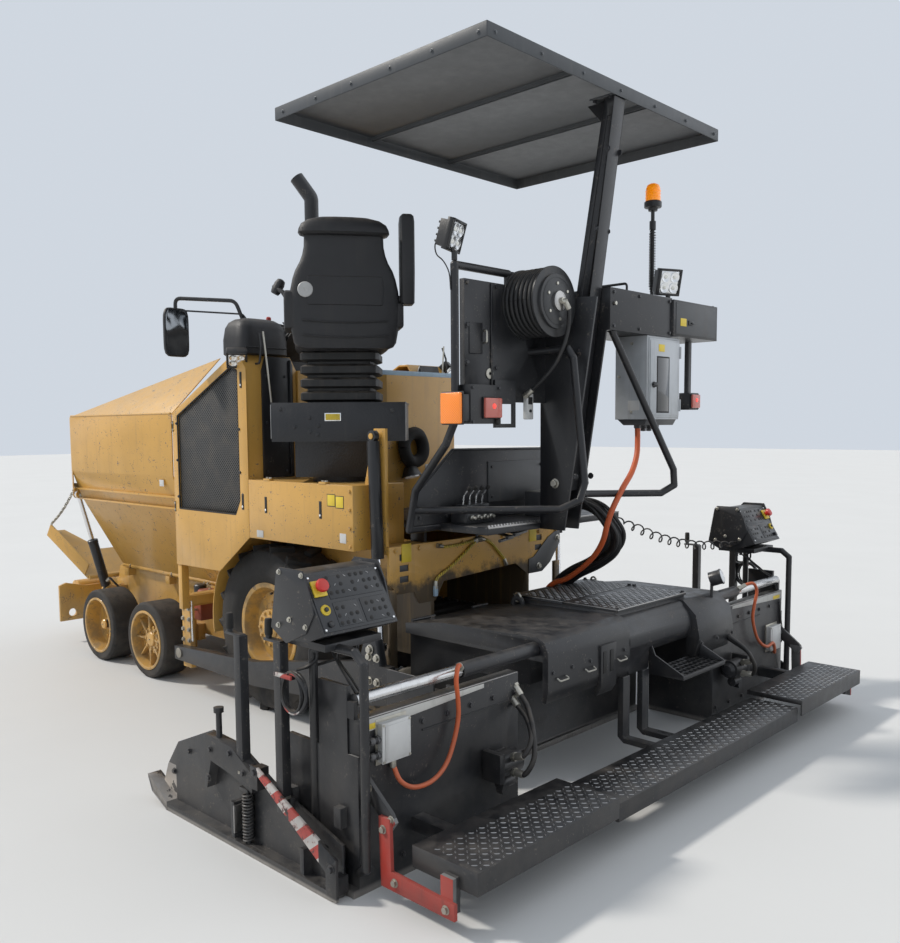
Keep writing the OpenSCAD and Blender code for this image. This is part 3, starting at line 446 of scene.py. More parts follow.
def screed_zones(look):
    """The screed's sole plate, rubbed bright by the mat."""
    height = look.axes()[2]
    return [(height.ease(0.045, 0.012), (0.34, 0.32, 0.30), 0.36, 0.85)]


def auger_zones(look):
    """Screw blades with bare edges in tar."""
    tar = look.noise(7.0, 6.0, rough=0.68).ease(0.40, 0.58)
    return [(tar, (0.022, 0.021, 0.020), 0.62, 0.0)]


def frame_shade_and_grime_zones(look):
    """Near-black on the frame's lower rear: painted shade of the underside, with the asphalt grime that the
    screws throw up there.
    """
    rear = look.inside((-1131, None, None), (-430, None, None))
    # Darker below about a metre: painted shade of the underside, with grime
    shade_and_splash = (look.axes()[2] + look.noise(6.0, 6.0, rough=0.7) * 0.3).ease(1.12, 1.04)
    return [(rear * shade_and_splash * 0.92, (0.030, 0.026, 0.021), 0.62, 0.0)]


def rim_zones(look):
    """Brown dust in the hollows of a wheel's disc."""
    dirt = look.noise(9.0, 6.0, rough=0.66).ease(0.44, 0.62)
    return [(dirt * 0.55, (0.16, 0.125, 0.075), 0.8, 0.0)]


def make_finishes():
    """All the finishes by name. Those of the record's slots have the slots' names."""
    c = colours()
    paint, black = tuple(c.paint), tuple(c.black)
    soot = (0.105, 0.093, 0.08)
    yellow = dict(rough=0.38, dusty=0.30, coat=0.25, tone=0.14, dust=(0.30, 0.235, 0.15))
    dark = dict(rough=0.36, dusty=0.32, dust=soot, tone=0.3, low_dirt=0.22,
                chip_colour=(0.085, 0.075, 0.065))
    bare = dict(rough=0.32, metal=0.95, dust=soot, grain_depth=0.0002)
    return {
        "paint": finish("yellow paint", paint, chips=0.1, dents=0.004, **yellow),
        # Frame paint with painted shade and grime on its lower rear
        "grimy": finish("frame paint", paint, chips=0.1, dents=0.004, zones=frame_shade_and_grime_zones, **yellow),
        "wing": finish("hopper paint", paint, chips=0.15, dents=0.006, zones=wing_zones, **yellow),
        "rim": finish("wheel paint", dimmed(paint, 0.92), chips=0.2, zones=rim_zones, low_dirt=0.25,
            **yellow),
        "auger": finish("screw steel", (0.30, 0.27, 0.22), zones=auger_zones, **{**bare, "metal": 0.7}),
        "painted_bolt": finish("painted bolt", dimmed(paint, 0.86), chips=0.4, **yellow),
        "black": finish("black paint", black, chips=0.1, **dark),
        "black_bolt": finish("black bolt", dimmed(black, 1.5), chips=0.5, **dark),
        "black_cast": finish("black casting", dimmed(black, 1.1), grain=90.0, grain_depth=0.002, **dark),
        "extension": finish("extension black", black, chips=0.1, zones=extension_zones, **dark),
        "gate": finish("gate black", black, chips=0.15, zones=gate_zones, **dark),
        "screed": finish("screed black", black, chips=0.1, zones=screed_zones, **dark),
        "tarred": finish("tarred steel", (0.030, 0.028, 0.026), rough=0.6, metal=0.3, dust=soot, grain=60.0,
            grain_depth=0.003, tone=0.5),
        "dark": finish("shadow black", (0.006, 0.006, 0.006), rough=0.6, dusty=0.15, streaks=0.1,
            low_dirt=0.1),
        "dark_grey": finish("dark grey sheet", (0.060, 0.062, 0.065), rough=0.42, dusty=0.4, streaks=0.35,
            low_dirt=0.2),
        "disc_grey": finish("dark plastic disc", (0.030, 0.031, 0.033), rough=0.38, dusty=0.3, low_dirt=0.0),
        "rubber": finish("tyre rubber", (0.020, 0.019, 0.018), rough=0.78, dust=(0.125, 0.106, 0.088),
            dusty=0.4, low_dirt=0.42, grain=420.0, grain_depth=0.0012, tone=0.4),
        "rubber_clean": finish("bellows rubber", (0.013, 0.013, 0.013), rough=0.55, dusty=0.3, grain=500.0,
            low_dirt=0.0),
        "steel": finish("polished rod", (0.80, 0.80, 0.81), rough=0.16, metal=1.0, dusty=0.10, streaks=0.08,
            grain_depth=0.0001, low_dirt=0.1, tone=0.06),
        "worn_steel": finish("bare steel", (0.46, 0.45, 0.44), low_dirt=0.3, **bare),
        "chain_steel": finish("chain steel", (0.24, 0.22, 0.20), tone=0.4, **{**bare, "rough": 0.45}),
        "worn_edge": finish("rubbed edge", (0.42, 0.41, 0.40), dusty=0.25, tone=0.35, low_dirt=0.1, **bare),
        "tread": finish("worn lozenge", (0.46, 0.455, 0.45), dusty=0.12, tone=0.45, low_dirt=0.0,
            **{**bare, "rough": 0.30, "metal": 0.9}),
        "mesh": perforated("perforated sheet", (0.052, 0.051, 0.050)),
        "seat": finish("seat moulding", (0.020, 0.020, 0.022), rough=0.50, dusty=0.22, grain=900.0,
            grain_depth=0.0006, streaks=0.1, low_dirt=0.0),
        "fabric": woven("seat cloth", (0.030, 0.030, 0.032)),
        "lamp": finish("lamp housing", (0.022, 0.022, 0.023), rough=0.40, grain=700.0, dusty=0.25),
        "grey": finish("canopy sheet", tuple(c.roof), rough=0.46, dust=(0.30, 0.29, 0.27),
            streaks=0.25, tone=0.2),
        "grey_bolt": finish("canopy bolt", dimmed(tuple(c.roof), 1.5), rough=0.4, dusty=0.3),
        "light": finish("cabinet enamel", (0.44, 0.46, 0.48), rough=0.35, dusty=0.3, streaks=0.40, coat=0.2,
            low_dirt=0.0),
        "hose": finish("hose rubber", (0.016, 0.016, 0.017), rough=0.5, grain=600.0,
            grain_depth=0.0005, low_dirt=0.2),
        "zinc": finish("zinc plate", (0.52, 0.50, 0.44), rough=0.36, metal=0.9, dusty=0.3, tone=0.3),
        "orange": finish("orange hose", (0.60, 0.11, 0.028), dusty=0.25, low_dirt=0.3, grain=700.0),
        # Its second colour is the guard's yellow darkened: painted shade between the turns
        "spiral_yellow": wound("spiral guard", (0.74, 0.56, 0.07), (0.30, 0.21, 0.03), 0.012),
        "red": finish("red paint", (0.46, 0.040, 0.028), rough=0.48, dusty=0.3, chips=0.5, tone=0.3),
        "red_knob": finish("red plastic", (0.55, 0.028, 0.020), rough=0.32, dusty=0.12, streaks=0.05,
            low_dirt=0.0),
        # Orange primer darkened to its look in shade: its own colour with painted shade in it
        "primer": finish("orange primer", (0.30, 0.060, 0.025), rough=0.55, tone=0.3, low_dirt=0.4),
        "panel": finish("panel film", (0.022, 0.024, 0.028), rough=0.32, dusty=0.15, streaks=0.1,
            low_dirt=0.0),
        "pale": finish("pale key", (0.40, 0.40, 0.40), rough=0.4, dusty=0.15, streaks=0.0, low_dirt=0.0),
        "gland": finish("cable gland", (0.10, 0.10, 0.105), rough=0.4, dusty=0.3, low_dirt=0.2),
        "white": finish("white plastic", (0.56, 0.56, 0.55), rough=0.42, streaks=0.4, low_dirt=0.2),
        "stripe_pale": finish("pale strip", (0.50, 0.49, 0.46), rough=0.5, streaks=0.4, low_dirt=0.2),
        "light_blue": finish("pale blue strip", (0.36, 0.50, 0.62), rough=0.4, dusty=0.2, low_dirt=0.0),
        "yellow_mark": finish("yellow mark", (0.74, 0.54, 0.04), dusty=0.25, low_dirt=0.2),
        "glass": finish("dark glass", (0.012, 0.014, 0.018), rough=0.08, dusty=0.15, coat=0.8,
            grain_depth=0.0, low_dirt=0.0),
        "mirror_glass": finish("mirror glass", (0.22, 0.235, 0.25), rough=0.05, metal=1.0, dusty=0.1,
            streaks=0.1, grain_depth=0.0, low_dirt=0.0, tone=0.03),
        "bright": finish("silver reflector", (0.86, 0.87, 0.88), rough=0.20, metal=0.9, dusty=0.05,
            streaks=0.0, tone=0.05, low_dirt=0.0),
        "led": lens("lamp cell", (0.86, 0.86, 0.80), 0.12),
        "amber": lens("amber lens", (0.92, 0.24, 0.015), 0.25),
        "amber_lit": lens("beacon dome", (1.0, 0.34, 0.01), 0.45, (1.0, 0.26, 0.0)),
        "tail_lens": lens("tail lens", (0.52, 0.13, 0.10), 0.12),
        "ruby_lit": lens("lit red cell", (0.8, 0.04, 0.03), 1.2, (1.0, 0.05, 0.03)),
        "clear": lens("clear lens", (0.80, 0.82, 0.84), 0.1),
    }


FINISHES = {}

# The finish of each frame node that doesn't simply take its slot's
OWN_FINISH = {
    "frame": "grimy",
    "conveyor": "tarred", "auger_left": "auger", "auger_right": "auger", "left_wing": "wing",
    "right_wing": "wing",
    "apron": "wing", "operator_console": "seat", "screed": "screed", "extension_left": "extension",
    "extension_right": "extension", "end_gate_left": "gate", "end_gate_right": "gate",
    "seat_base": "black_cast",
    "hose_reel": "disc_grey",
}
OWN_FINISH.update({name: "rim" for name in NODES if "_rim_" in name})


# Modelling helpers. Places are in millimetres, as in at().


def stood(place, normal, up=UP):
    """The matrix that stands what is made along Z on a place, facing a way."""
    z = Vector(normal).normalized()
    y = Vector(up) - z * z.dot(Vector(up))
    if y.length < 0.05:
        y = Vector(AHEAD) - z * z.x
    y.normalize()
    x = y.cross(z)
    return Matrix.Translation(at(*place)) @ Matrix((x, y, z)).transposed().to_4x4()


def clear_selection():
    """Deselects all, because an operator acts on all that is selected."""
    for piece in bpy.context.selected_objects:
        piece.select_set(False)
    bpy.context.view_layer.objects.active = None


def pick(*pieces):
    """Selects these pieces alone, the first of them active."""
    clear_selection()
    for piece in pieces:
        piece.select_set(True)
    bpy.context.view_layer.objects.active = pieces[0]


def taken(look):
    """The active piece with its place settled into its mesh, in a finish."""
    piece = bpy.context.object
    bpy.ops.object.transform_apply(location=True, rotation=True, scale=True)
    piece.data.materials.clear()
    piece.data.materials.append(FINISHES[look])
    return piece


def edit(action="SELECT"):
    """Enters edit mode with all of the piece selected, or none of it."""
    bpy.ops.object.mode_set(mode="EDIT")
    bpy.ops.mesh.select_all(action=action)


def leave():
    """Leaves edit mode."""
    bpy.ops.object.mode_set(mode="OBJECT")


def merge():
    """Merges the points that lie on each other."""
    bpy.ops.mesh.remove_doubles(threshold=MERGE)


def face_outwards():
    """Turns all faces of the piece outwards."""
    bpy.ops.mesh.select_all(action="SELECT")
    bpy.ops.mesh.normals_make_consistent(inside=False)


def moved(piece, stand):
    """The piece, moved by a matrix where there is one."""
    if stand is not None:
        piece.data.transform(stand)
    return piece


def block(look, low, high, edge=2.5, stand=None):
    """A block between two corners with rounded edges; stand is the matrix of its own axes."""
    clear_selection()
    low, high = Vector(low), Vector(high)
    centre = (low + high) / 2
    place = at(*centre) if stand is None else centre / 1000
    bpy.ops.mesh.primitive_cube_add(size=1, location=place, scale=(high - low) / 1000)
    piece = taken(look)
    edit()
    bpy.ops.mesh.bevel(offset=edge / 1000, segments=2, affect="EDGES")
    leave()
    return moved(piece, stand)


def plate(look, across, low, high, outline, edge=1.5):
    """A plate cut to an outline, between two places on the axis it is cut across."""
    clear_selection()
    bpy.ops.mesh.primitive_circle_add(vertices=len(outline), fill_type="NGON")
    piece = taken(look)
    axis = "xyz".index(across)
    for vertex, (u, v) in zip(piece.data.vertices, outline):
        corner = [u, v]
        corner.insert(axis, low)
        vertex.co = at(*corner)
    shift = [0, 0, 0]
    shift[axis] = (high - low) / 1000
    edit()
    bpy.ops.mesh.extrude_region_move(TRANSFORM_OT_translate={"value": shift})
    face_outwards()
    if edge:
        bpy.ops.mesh.bevel(offset=edge / 1000, segments=2, affect="EDGES")
    leave()
    return piece


def turned(look, profile, stand, steps=28):
    """A turned piece from pairs of radius and height, spun about its own Z."""
    clear_selection()
    bpy.ops.mesh.primitive_circle_add(vertices=len(profile), fill_type="NOTHING")
    piece = taken(look)
    for vertex, (radius, height) in zip(piece.data.vertices, profile):
        vertex.co = (radius / 1000, 0, height / 1000)
    edit()
    bpy.ops.mesh.spin(steps=steps, angle=tau, center=(0, 0, 0), axis=UP)
    bpy.ops.mesh.select_all(action="SELECT")
    merge()
    bpy.ops.mesh.delete_loose(use_verts=True, use_edges=True, use_faces=False)
    face_outwards()
    leave()
    return moved(piece, stand)


def chamfered(look, radius, side, shoulder, top, stand, steps=28):
    """A turned cap: a straight side up to a height, then a slope to a smaller radius at its top."""
    return turned(look, [(0, 0), (radius, 0), (radius, side), (shoulder, top), (0, top)], stand, steps)


def button(look, radius, side, top, stand, steps=28):
    """A turned disc with a straight side, a little higher or as high in its middle."""
    return turned(look, [(0, 0), (radius, 0), (radius, side), (0, top)], stand, steps)


def lofted(look, rings, stand=None, soft=0):
    """A closed skin over rings of points, from the lowest to the highest."""
    clear_selection()
    around = len(rings[0])
    bpy.ops.mesh.primitive_grid_add(x_subdivisions=around, y_subdivisions=len(rings) - 1)
    piece = taken(look)
    for row, ring in enumerate(rings):
        for column in range(around + 1):
            piece.data.vertices[row * (around + 1) + column].co = Vector(ring[column % around]) / 1000
    edit()
    merge()
    bpy.ops.mesh.fill_holes(sides=0)
    face_outwards()
    leave()
    if soft:
        smoothing = piece.modifiers.new("soft", "SUBSURF")
        smoothing.levels = smoothing.render_levels = soft
        bpy.ops.object.modifier_apply(modifier="soft")
    return moved(piece, stand)


def oval(z, x0, x1, half, power=4.0, count=32):
    """A ring of a rounded rectangle at a height, between two places in X and across a half width in Y."""
    ring = []
    for i in range(count):
        turn = tau * i / count
        c, s = cos(turn), sin(turn)
        reach = (abs(c) ** power + abs(s) ** power) ** (-1 / power)
        ring.append(((x0 + x1) / 2 + (x1 - x0) / 2 * c * reach, half * s * reach, z))
    return ring


def ovals(levels, power=4.0, count=32):
    """Rings at several heights, from rows of height, two places in X and half width."""
    return [oval(*level, power, count) for level in levels]


def rounded(points, corner):
    """A line in millimetres through points, its corners turned to arcs."""
    line = [Vector(points[0])]
    for before, here, after in zip(points, points[1:], points[2:]):
        here = Vector(here)
        back, ahead = Vector(before) - here, Vector(after) - here
        half = back.angle(ahead) / 2
        cut = min(corner / max(tan(half), 0.05), back.length * 0.48, ahead.length * 0.48)
        a, b = here + back.normalized() * cut, here + ahead.normalized() * cut
        for i in range(7):
            t = i / 6
            line.append(a * (1 - t) ** 2 + here * 2 * t * (1 - t) + b * t * t)
    line.append(Vector(points[-1]))
    return line


def flowing(points, pieces=6):
    """A smooth line in millimetres through points."""
    known = [Vector(p) for p in points]
    known = [known[0] * 2 - known[1]] + known + [known[-1] * 2 - known[-2]]
    line = []
    for a, b, c, d in zip(known, known[1:], known[2:], known[3:]):
        for i in range(pieces):
            t = i / pieces
            line.append(0.5 * (b * 2 + (c - a) * t + (a * 2 - b * 5 + c * 4 - d) * t * t
                               + (b * 3 - a - c * 3 + d) * t ** 3))
    line.append(known[-2])
    return line


def sagging(a, b, drop, count=14):
    """A line in millimetres that hangs between two places."""
    a, b = Vector(a), Vector(b)
    return [a.lerp(b, i / count) - Vector((0, 0, drop * 4 * (i / count) * (1 - i / count)))
            for i in range(count + 1)]


def curled(line, radius, turns):
    """A line in millimetres wound round another one."""
    spans = [0.0]
    for a, b in zip(line, line[1:]):
        spans.append(spans[-1] + (b - a).length)
    count = int(turns * 12)
    wound = []
    side = (line[-1] - line[0]).orthogonal()
    for i in range(count + 1):
        reach = spans[-1] * i / count
        k = min(max(j for j, s in enumerate(spans) if s <= reach + 1e-9), len(line) - 2)
        along = (line[k + 1] - line[k]).normalized()
        here = line[k] + along * (reach - spans[k])
        side = (side - along * side.dot(along)).normalized()
        turn = tau * turns * i / count
        fade = min(1.0, 6 * i / count, 6 * (count - i) / count)
        wound.append(here + (side * cos(turn) + along.cross(side) * sin(turn)) * radius * fade)
    return wound


def strand(look, line, radius, sides=12, stand=None):
    """A tube of a radius along a line in millimetres, closed at both ends."""
    clear_selection()
    bpy.ops.curve.primitive_nurbs_path_add(location=(0, 0, 0))
    piece = bpy.context.object
    curve = piece.data
    curve.splines.clear()
    spline = curve.splines.new("POLY")
    spline.points.add(len(line) - 1)
    for point, place in zip(spline.points, line):
        spot = at(*place) if stand is None else Vector(place) / 1000
        point.co = (*spot, 1)
    curve.bevel_depth = radius / 1000
    curve.bevel_resolution = max(0, sides // 4 - 1)
    curve.use_fill_caps = True
    bpy.ops.object.convert(target="MESH")
    piece = bpy.context.object
    piece.data.materials.clear()
    piece.data.materials.append(FINISHES[look])
    edit()
    merge()
    face_outwards()
    leave()
    return moved(piece, stand)


def bent(look, points, corner, radius, sides=12):
    """A rod or pipe through points in millimetres, its corners turned to arcs."""
    return strand(look, rounded(points, corner), radius, sides)


def copied(piece, change):
    """A copy with its own mesh, changed by a matrix."""
    twin = piece.copy()
    twin.data = piece.data.copy()
    bpy.context.scene.collection.objects.link(twin)
    twin.data.transform(change)
    if change.determinant() < 0:
        twin.data.flip_normals()
    return twin


def joined(name, parts, body, smooth=34):
    """Joins parts into one piece that rides on a body."""
    pick(*parts)
    if len(parts) > 1:
        bpy.ops.object.join()
    piece = parts[0]
    piece.name = name
    bpy.ops.object.shade_smooth_by_angle(angle=radians(smooth))
    if body:
        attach(piece, body)
    clear_selection()
    return piece


def on_both_sides(name, parts, body):
    """A joined piece on the left and its mirrored copy on the right. SIDE in a name stands for the side."""
    left = joined(name.replace("SIDE", "left"), parts, None)
    right = copied(left, MIRROR)
    right.name = name.replace("SIDE", "right")
    for piece, side in ((left, "left"), (right, "right")):
        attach(piece, body.replace("SIDE", side))
    return left, right


# The mesh of one bolt in each finish
MASTERS = {}


def hex_bolt(look):
    """The mesh of one hexagon bolt with its washer, standing on the origin, one across its flats."""
    if look not in MASTERS:
        clear_selection()
        corner = 0.577
        bpy.ops.mesh.primitive_cylinder_add(vertices=6, radius=corner, depth=0.42, location=(0, 0, 0.31))
        head = taken(look)
        edit("DESELECT")
        leave()
        for face in head.data.polygons:
            face.select = face.normal.z > 0.9
        bpy.ops.object.mode_set(mode="EDIT")
        bpy.ops.mesh.inset(thickness=0.07, depth=0.05)
        leave()
        washer = turned(look, [(0, 0), (780, 0), (780, 80), (720, 110), (0, 110)], Matrix.Identity(4), 12)
        pick(head, washer)
        bpy.ops.object.join()
        MASTERS[look] = head.data.copy()
        bpy.data.objects.remove(head)
    return MASTERS[look]


def bolt(look, matrix):
    """A hexagon bolt, moved and sized by a matrix."""
    piece = bpy.data.objects.new("bolt", hex_bolt(look).copy())
    bpy.context.scene.collection.objects.link(piece)
    piece.data.transform(matrix)
    return piece


def bolts(places, normal, across=None, look="zinc"):
    """Hexagon bolts on a face, at places in millimetres, no two next to each other turned the same way."""
    size = (across or sizes().bolt * 1000) / 1000
    return [bolt(look, stood(place, normal) @ Matrix.Rotation(0.7 * i, 4, "Z") @ Matrix.Scale(size, 4))
            for i, place in enumerate(places)]


def row(start, end, count):
    """Places at equal distances on a straight line."""
    return [tuple(Vector(start).lerp(Vector(end), i / max(count - 1, 1))) for i in range(count)]


def ringed(centre, radius, count, axis="y", turn=0.0):
    """Places on a circle round an axis."""
    places = []
    for i in range(count):
        angle = tau * i / count + turn
        u, v = radius * cos(angle), radius * sin(angle)
        places.append({
            "x": (centre[0], centre[1] + u, centre[2] + v),
            "y": (centre[0] + u, centre[1], centre[2] + v),
            "z": (centre[0] + u, centre[1] + v, centre[2])}[axis])
    return places


def angles(steps, turns=1):
    """The angles of so many steps a turn, with both ends."""
    return [tau * k / steps for k in range(steps * turns + 1)]


def mirrored(line, s):
    """A line on the left, or its mirror image on the right where s is -1."""
    return [(x, s * y, z) for x, y, z in line]


def shifted(x, y, z, turn=0.0, axis="Z"):
    """The matrix of a move in millimetres, before which the piece is turned about an axis."""
    return Matrix.Translation((x / 1000, y / 1000, z / 1000)) @ Matrix.Rotation(turn, 4, axis)


def sign(look, place, normal, wide, high, rim=None):
    """A thin blank plate with a raised rim."""
    stand = stood(place, normal)
    parts = [block(look, (-wide / 2, -high / 2, 0), (wide / 2, high / 2, 2.0), 0.6, stand)]
    if rim:
        parts.append(block(rim, (-wide / 2 - 4, -high / 2 - 4, 0), (wide / 2 + 4, high / 2 + 4, 1.2), 0.4,
                           stand))
    return parts


# The crimped fittings at the ends of the hoses, by body
FITTINGS = {}


def hose(name, look, line, width, body, far_body=None, nuts=True, sides=12):
    """A hose along a line in millimetres, with crimped fittings at its ends."""
    piece = strand(look, line, width / 2, sides)
    piece.name = name
    pick(piece)
    bpy.ops.object.shade_smooth_by_angle(angle=radians(60))
    path = [at(*p) for p in line]
    if far_body:
        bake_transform(piece)
    else:
        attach(piece, body)
    if nuts:
        for ends, rides in (((0, 1), body), ((-1, -2), far_body or body)):
            here, inner = Vector(line[ends[0]]), Vector(line[ends[1]])
            stand = stood(tuple(here), inner - here)
            r = width / 2
            FITTINGS.setdefault(rides, []).extend([
                turned("zinc",
                       [(0, -2), (r * 1.35, -2), (r * 1.35, r * 3), (r * 1.15, r * 3.6), (0, r * 3.6)],
                       stand, 14),
                turned("zinc", [(0, -r * 1.6), (r * 1.7, -r * 1.6), (r * 1.7, -2), (0, -2)], stand, 6),
            ])
    return piece


def cable(name, line, width, body, far_body=None):
    """A thin cable without crimped fittings."""
    return hose(name, "hose", line, width, body, far_body, nuts=False, sides=8)


class PAVER_OT_finishes(bpy.types.Operator):
    """Makes the finishes and gives each frame node its own."""

    bl_idname = "paver.finishes"
    bl_label = "Finishes"

    def execute(self, context):
        FINISHES.update(make_finishes())
        slots = {part["node"]: part["material_slot"] for part in frame["record"]["subparts"]}
        for name, node in NODES.items():
            node.data.materials.clear()
            node.data.materials.append(FINISHES[OWN_FINISH.get(name, slots[name])])
            weld = node.modifiers.new("merge", "WELD")
            weld.merge_threshold = NODE_MERGE
            edge = node.modifiers.new("rounded edges", "BEVEL")
            edge.width = sizes().edge
            edge.segments = 2
            edge.limit_method = "ANGLE"
            edge.angle_limit = radians(BEVEL_ANGLE)
            pick(node)
            bpy.ops.object.shade_smooth_by_angle(angle=radians(SMOOTH_ANGLE))
        clear_selection()
        return {"FINISHED"}


class PAVER_OT_wheels(bpy.types.Operator):
    """Hub caps, wheel bolts and valves."""

    bl_idname = "paver.wheels"
    bl_label = "Wheels"

    def execute(self, context):
        for place, x, face, bolt_face, cap, count, radius in (
                ("front", 2056, 822, 769, 38, 6, 118), ("rear", 1312, 831, 831, 52, 8, 72)):
            axle = 270
            centre = stood((x, face, axle), LEFT)
            parts = [
                turned("paint", [(0, 0), (cap, 0), (cap, 6), (cap - 6, 13), (cap * 0.5, 15), (0, 15)], centre,
                       32),
                turned("zinc", [(0, 14), (5, 14), (5, 19), (3, 23), (0, 24)], centre, 12),
            ]
            parts += bolts(ringed((x, bolt_face, axle), radius, count), LEFT, 20, "painted_bolt")
            if place == "rear":
                for spot in ringed((x, face, axle), 92, 10):
                    parts.append(turned("paint", [(0, -16), (11, -16), (11, 0), (9, 2), (0, 2)],
                                        stood(spot, LEFT), 14))
            on_both_sides(f"hub_{place}_SIDE", parts, f"bogie_wheel_{place}_SIDE")
        axle = 525
        parts = [turned("paint", [(0, 0), (74, 0), (74, 5), (64, 13), (30, 18), (0, 19)],
                        stood((0, 730, axle), LEFT), 36)]
        parts += bolts(ringed((0, 730, axle), 101, 12), LEFT, 19, "painted_bolt")
        parts += bolts(ringed((0, 749, axle), 18, 2), LEFT, 15)
        parts.append(bent("zinc", [(0, 655, 752), (0, 690, 752), (0, 712, 744)], 12, 4.5, 8))
        parts.append(chamfered("black", 6.5, 14, 4, 16, stood((0, 706, 746), (0, 1, -0.3)), 10))
        on_both_sides("drive_hub_SIDE", parts, "drive_wheel_SIDE")
        return {"FINISHED"}


class PAVER_OT_body(bpy.types.Operator):
    """Latches, hinges, handrails, blank signs and bolts of the body panels."""

    bl_idname = "paver.body"
    bl_label = "Body panels"

    def latch(self, x, z, high=96):
        """A recessed quarter-turn lock in its black slot, with a near-black insert painted as the shade in
        the recess.
        """
        low, top = z - high / 2, z + high / 2
        return [
            block("black", (x - 11, 874.5, low), (x + 11, 877, top), 1.0),
            block("dark", (x - 7, 876.5, low + 5), (x + 7, 877.6, top - 5), 0.5),
            chamfered("bright", 7, 3, 5, 5, stood((x, 877, low + 18), LEFT), 16),
        ]

    def execute(self, context):
        parts = []
        for x, z in ((41, 1323), (31, 2054), (-197, 1317), (-710, 1317)):
            parts += self.latch(x, z)
        for z in (1782, 1253):
            parts.append(block("black", (832, 866, z - 34), (845.5, 877, z + 34), 1.5))
            parts += bolts([(838, 876, z - 22), (838, 876, z + 22)], LEFT, 10)
        parts.append(block("paint", (-24, 869, 1462), (-17, 876.5, 2118), 1.2))
        for x0, x1 in ((-240, -180), (-760, -700)):
            parts.append(block("paint", (x0, 846, 1459), (x1, 878, 1472), 2))
            parts += bolts([(x0 + 15, 858, 1471), (x1 - 15, 858, 1471)], UP, 16)
        for look, x, z, wide, high, rim in (
                ("yellow_mark", -805, 1375, 62, 60, "black"), ("yellow_mark", -876, 1368, 62, 60, "black"),
                ("white", -133, 1142, 66, 42, None), ("white", -900, 1175, 52, 52, None)):
            parts += sign(look, (x, 875, z), LEFT, wide, high, rim)
        parts += bolts(row((-960, 875, 1132), (-960, 875, 1430), 4), LEFT, 16, "painted_bolt")
        parts += bolts([(792, 875, 1320), (792, 875, 1560), (792, 875, 1800), (60, 875, 1500),
                        (60, 875, 1760)],
                       LEFT, 12, "black_bolt")
        outline = [(784, 1240), (784, 1850), (150, 2135), (70, 2115), (70, 1330), (120, 1240)]
        frame_line = [(x, 871, z) for x, z in outline] + [(784, 871, 1240), (784, 871, 1300)]
        parts.append(bent("rubber", frame_line, 14, 5.5, 8))
        on_both_sides("panel_fittings_SIDE", parts, "tractor")

        lining = [
            plate("black", "x", -34, -21,
                  [(768, 1466), (768, 2110), (740, 2196), (560, 2196), (540, 2150), (540, 1466)], 3),
            block("black", (-44, 556, 1480), (-32, 572, 2180), 3),
            strand("zinc", [(-62, 773, 2340), (-66, 752, 2140), (-70, 730, 1921)], 6, 10),
            bent("black", [(-20, 800, 2150), (-60, 800, 2150), (-66, 790, 2250), (-40, 780, 2330)],
                                    30, 7, 8),
        ]
        lining += bolts([(-34, y, z) for y in (600, 740) for z in (1500, 1800, 2080)], BACK, 13, "black_bolt")
        on_both_sides("tower_lining_SIDE", lining, "tractor")
        cowl = [lofted("seat", ovals((
            (2206, 0, 236, 168), (2214, -8, 244, 176), (2300, -8, 244, 176), (2370, 4, 232, 166),
            (2404, 24, 214, 148), (2424, 54, 190, 116), (2431, 84, 160, 74)), 5, 40),
            Matrix.Translation(at(0, 706, 0)))]
        cowl.append(strand("black", [(-9, y, 2250) for y in range(560, 861, 30)], 4, 8))
        joined("console_cowl", cowl, "tractor", 45)

        x, y, hood = 300, 110, cad_top("hood")
        pipe = [
            bent("black", [(x, y, 2300), (x, y, 3288), (369, 176, 3422)], 70, 47, 28),
            turned("black", [(47, 0), (84, 0), (84, 8), (80, 12), (80, 90), (74, 97), (47, 98)],
                   Matrix.Translation(at(x, y, hood)), 36),
            turned("black", [(46, 0), (52, 0), (52, 26), (46, 26)], Matrix.Translation(at(x, y, 2760)), 32),
        ]
        pipe += bolts(ringed((x, y, hood + 97), 66, 6, "z"), UP, 14, "black_bolt")
        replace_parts(joined("exhaust_pipe", pipe, "tractor"), "exhaust")
        return {"FINISHED"}


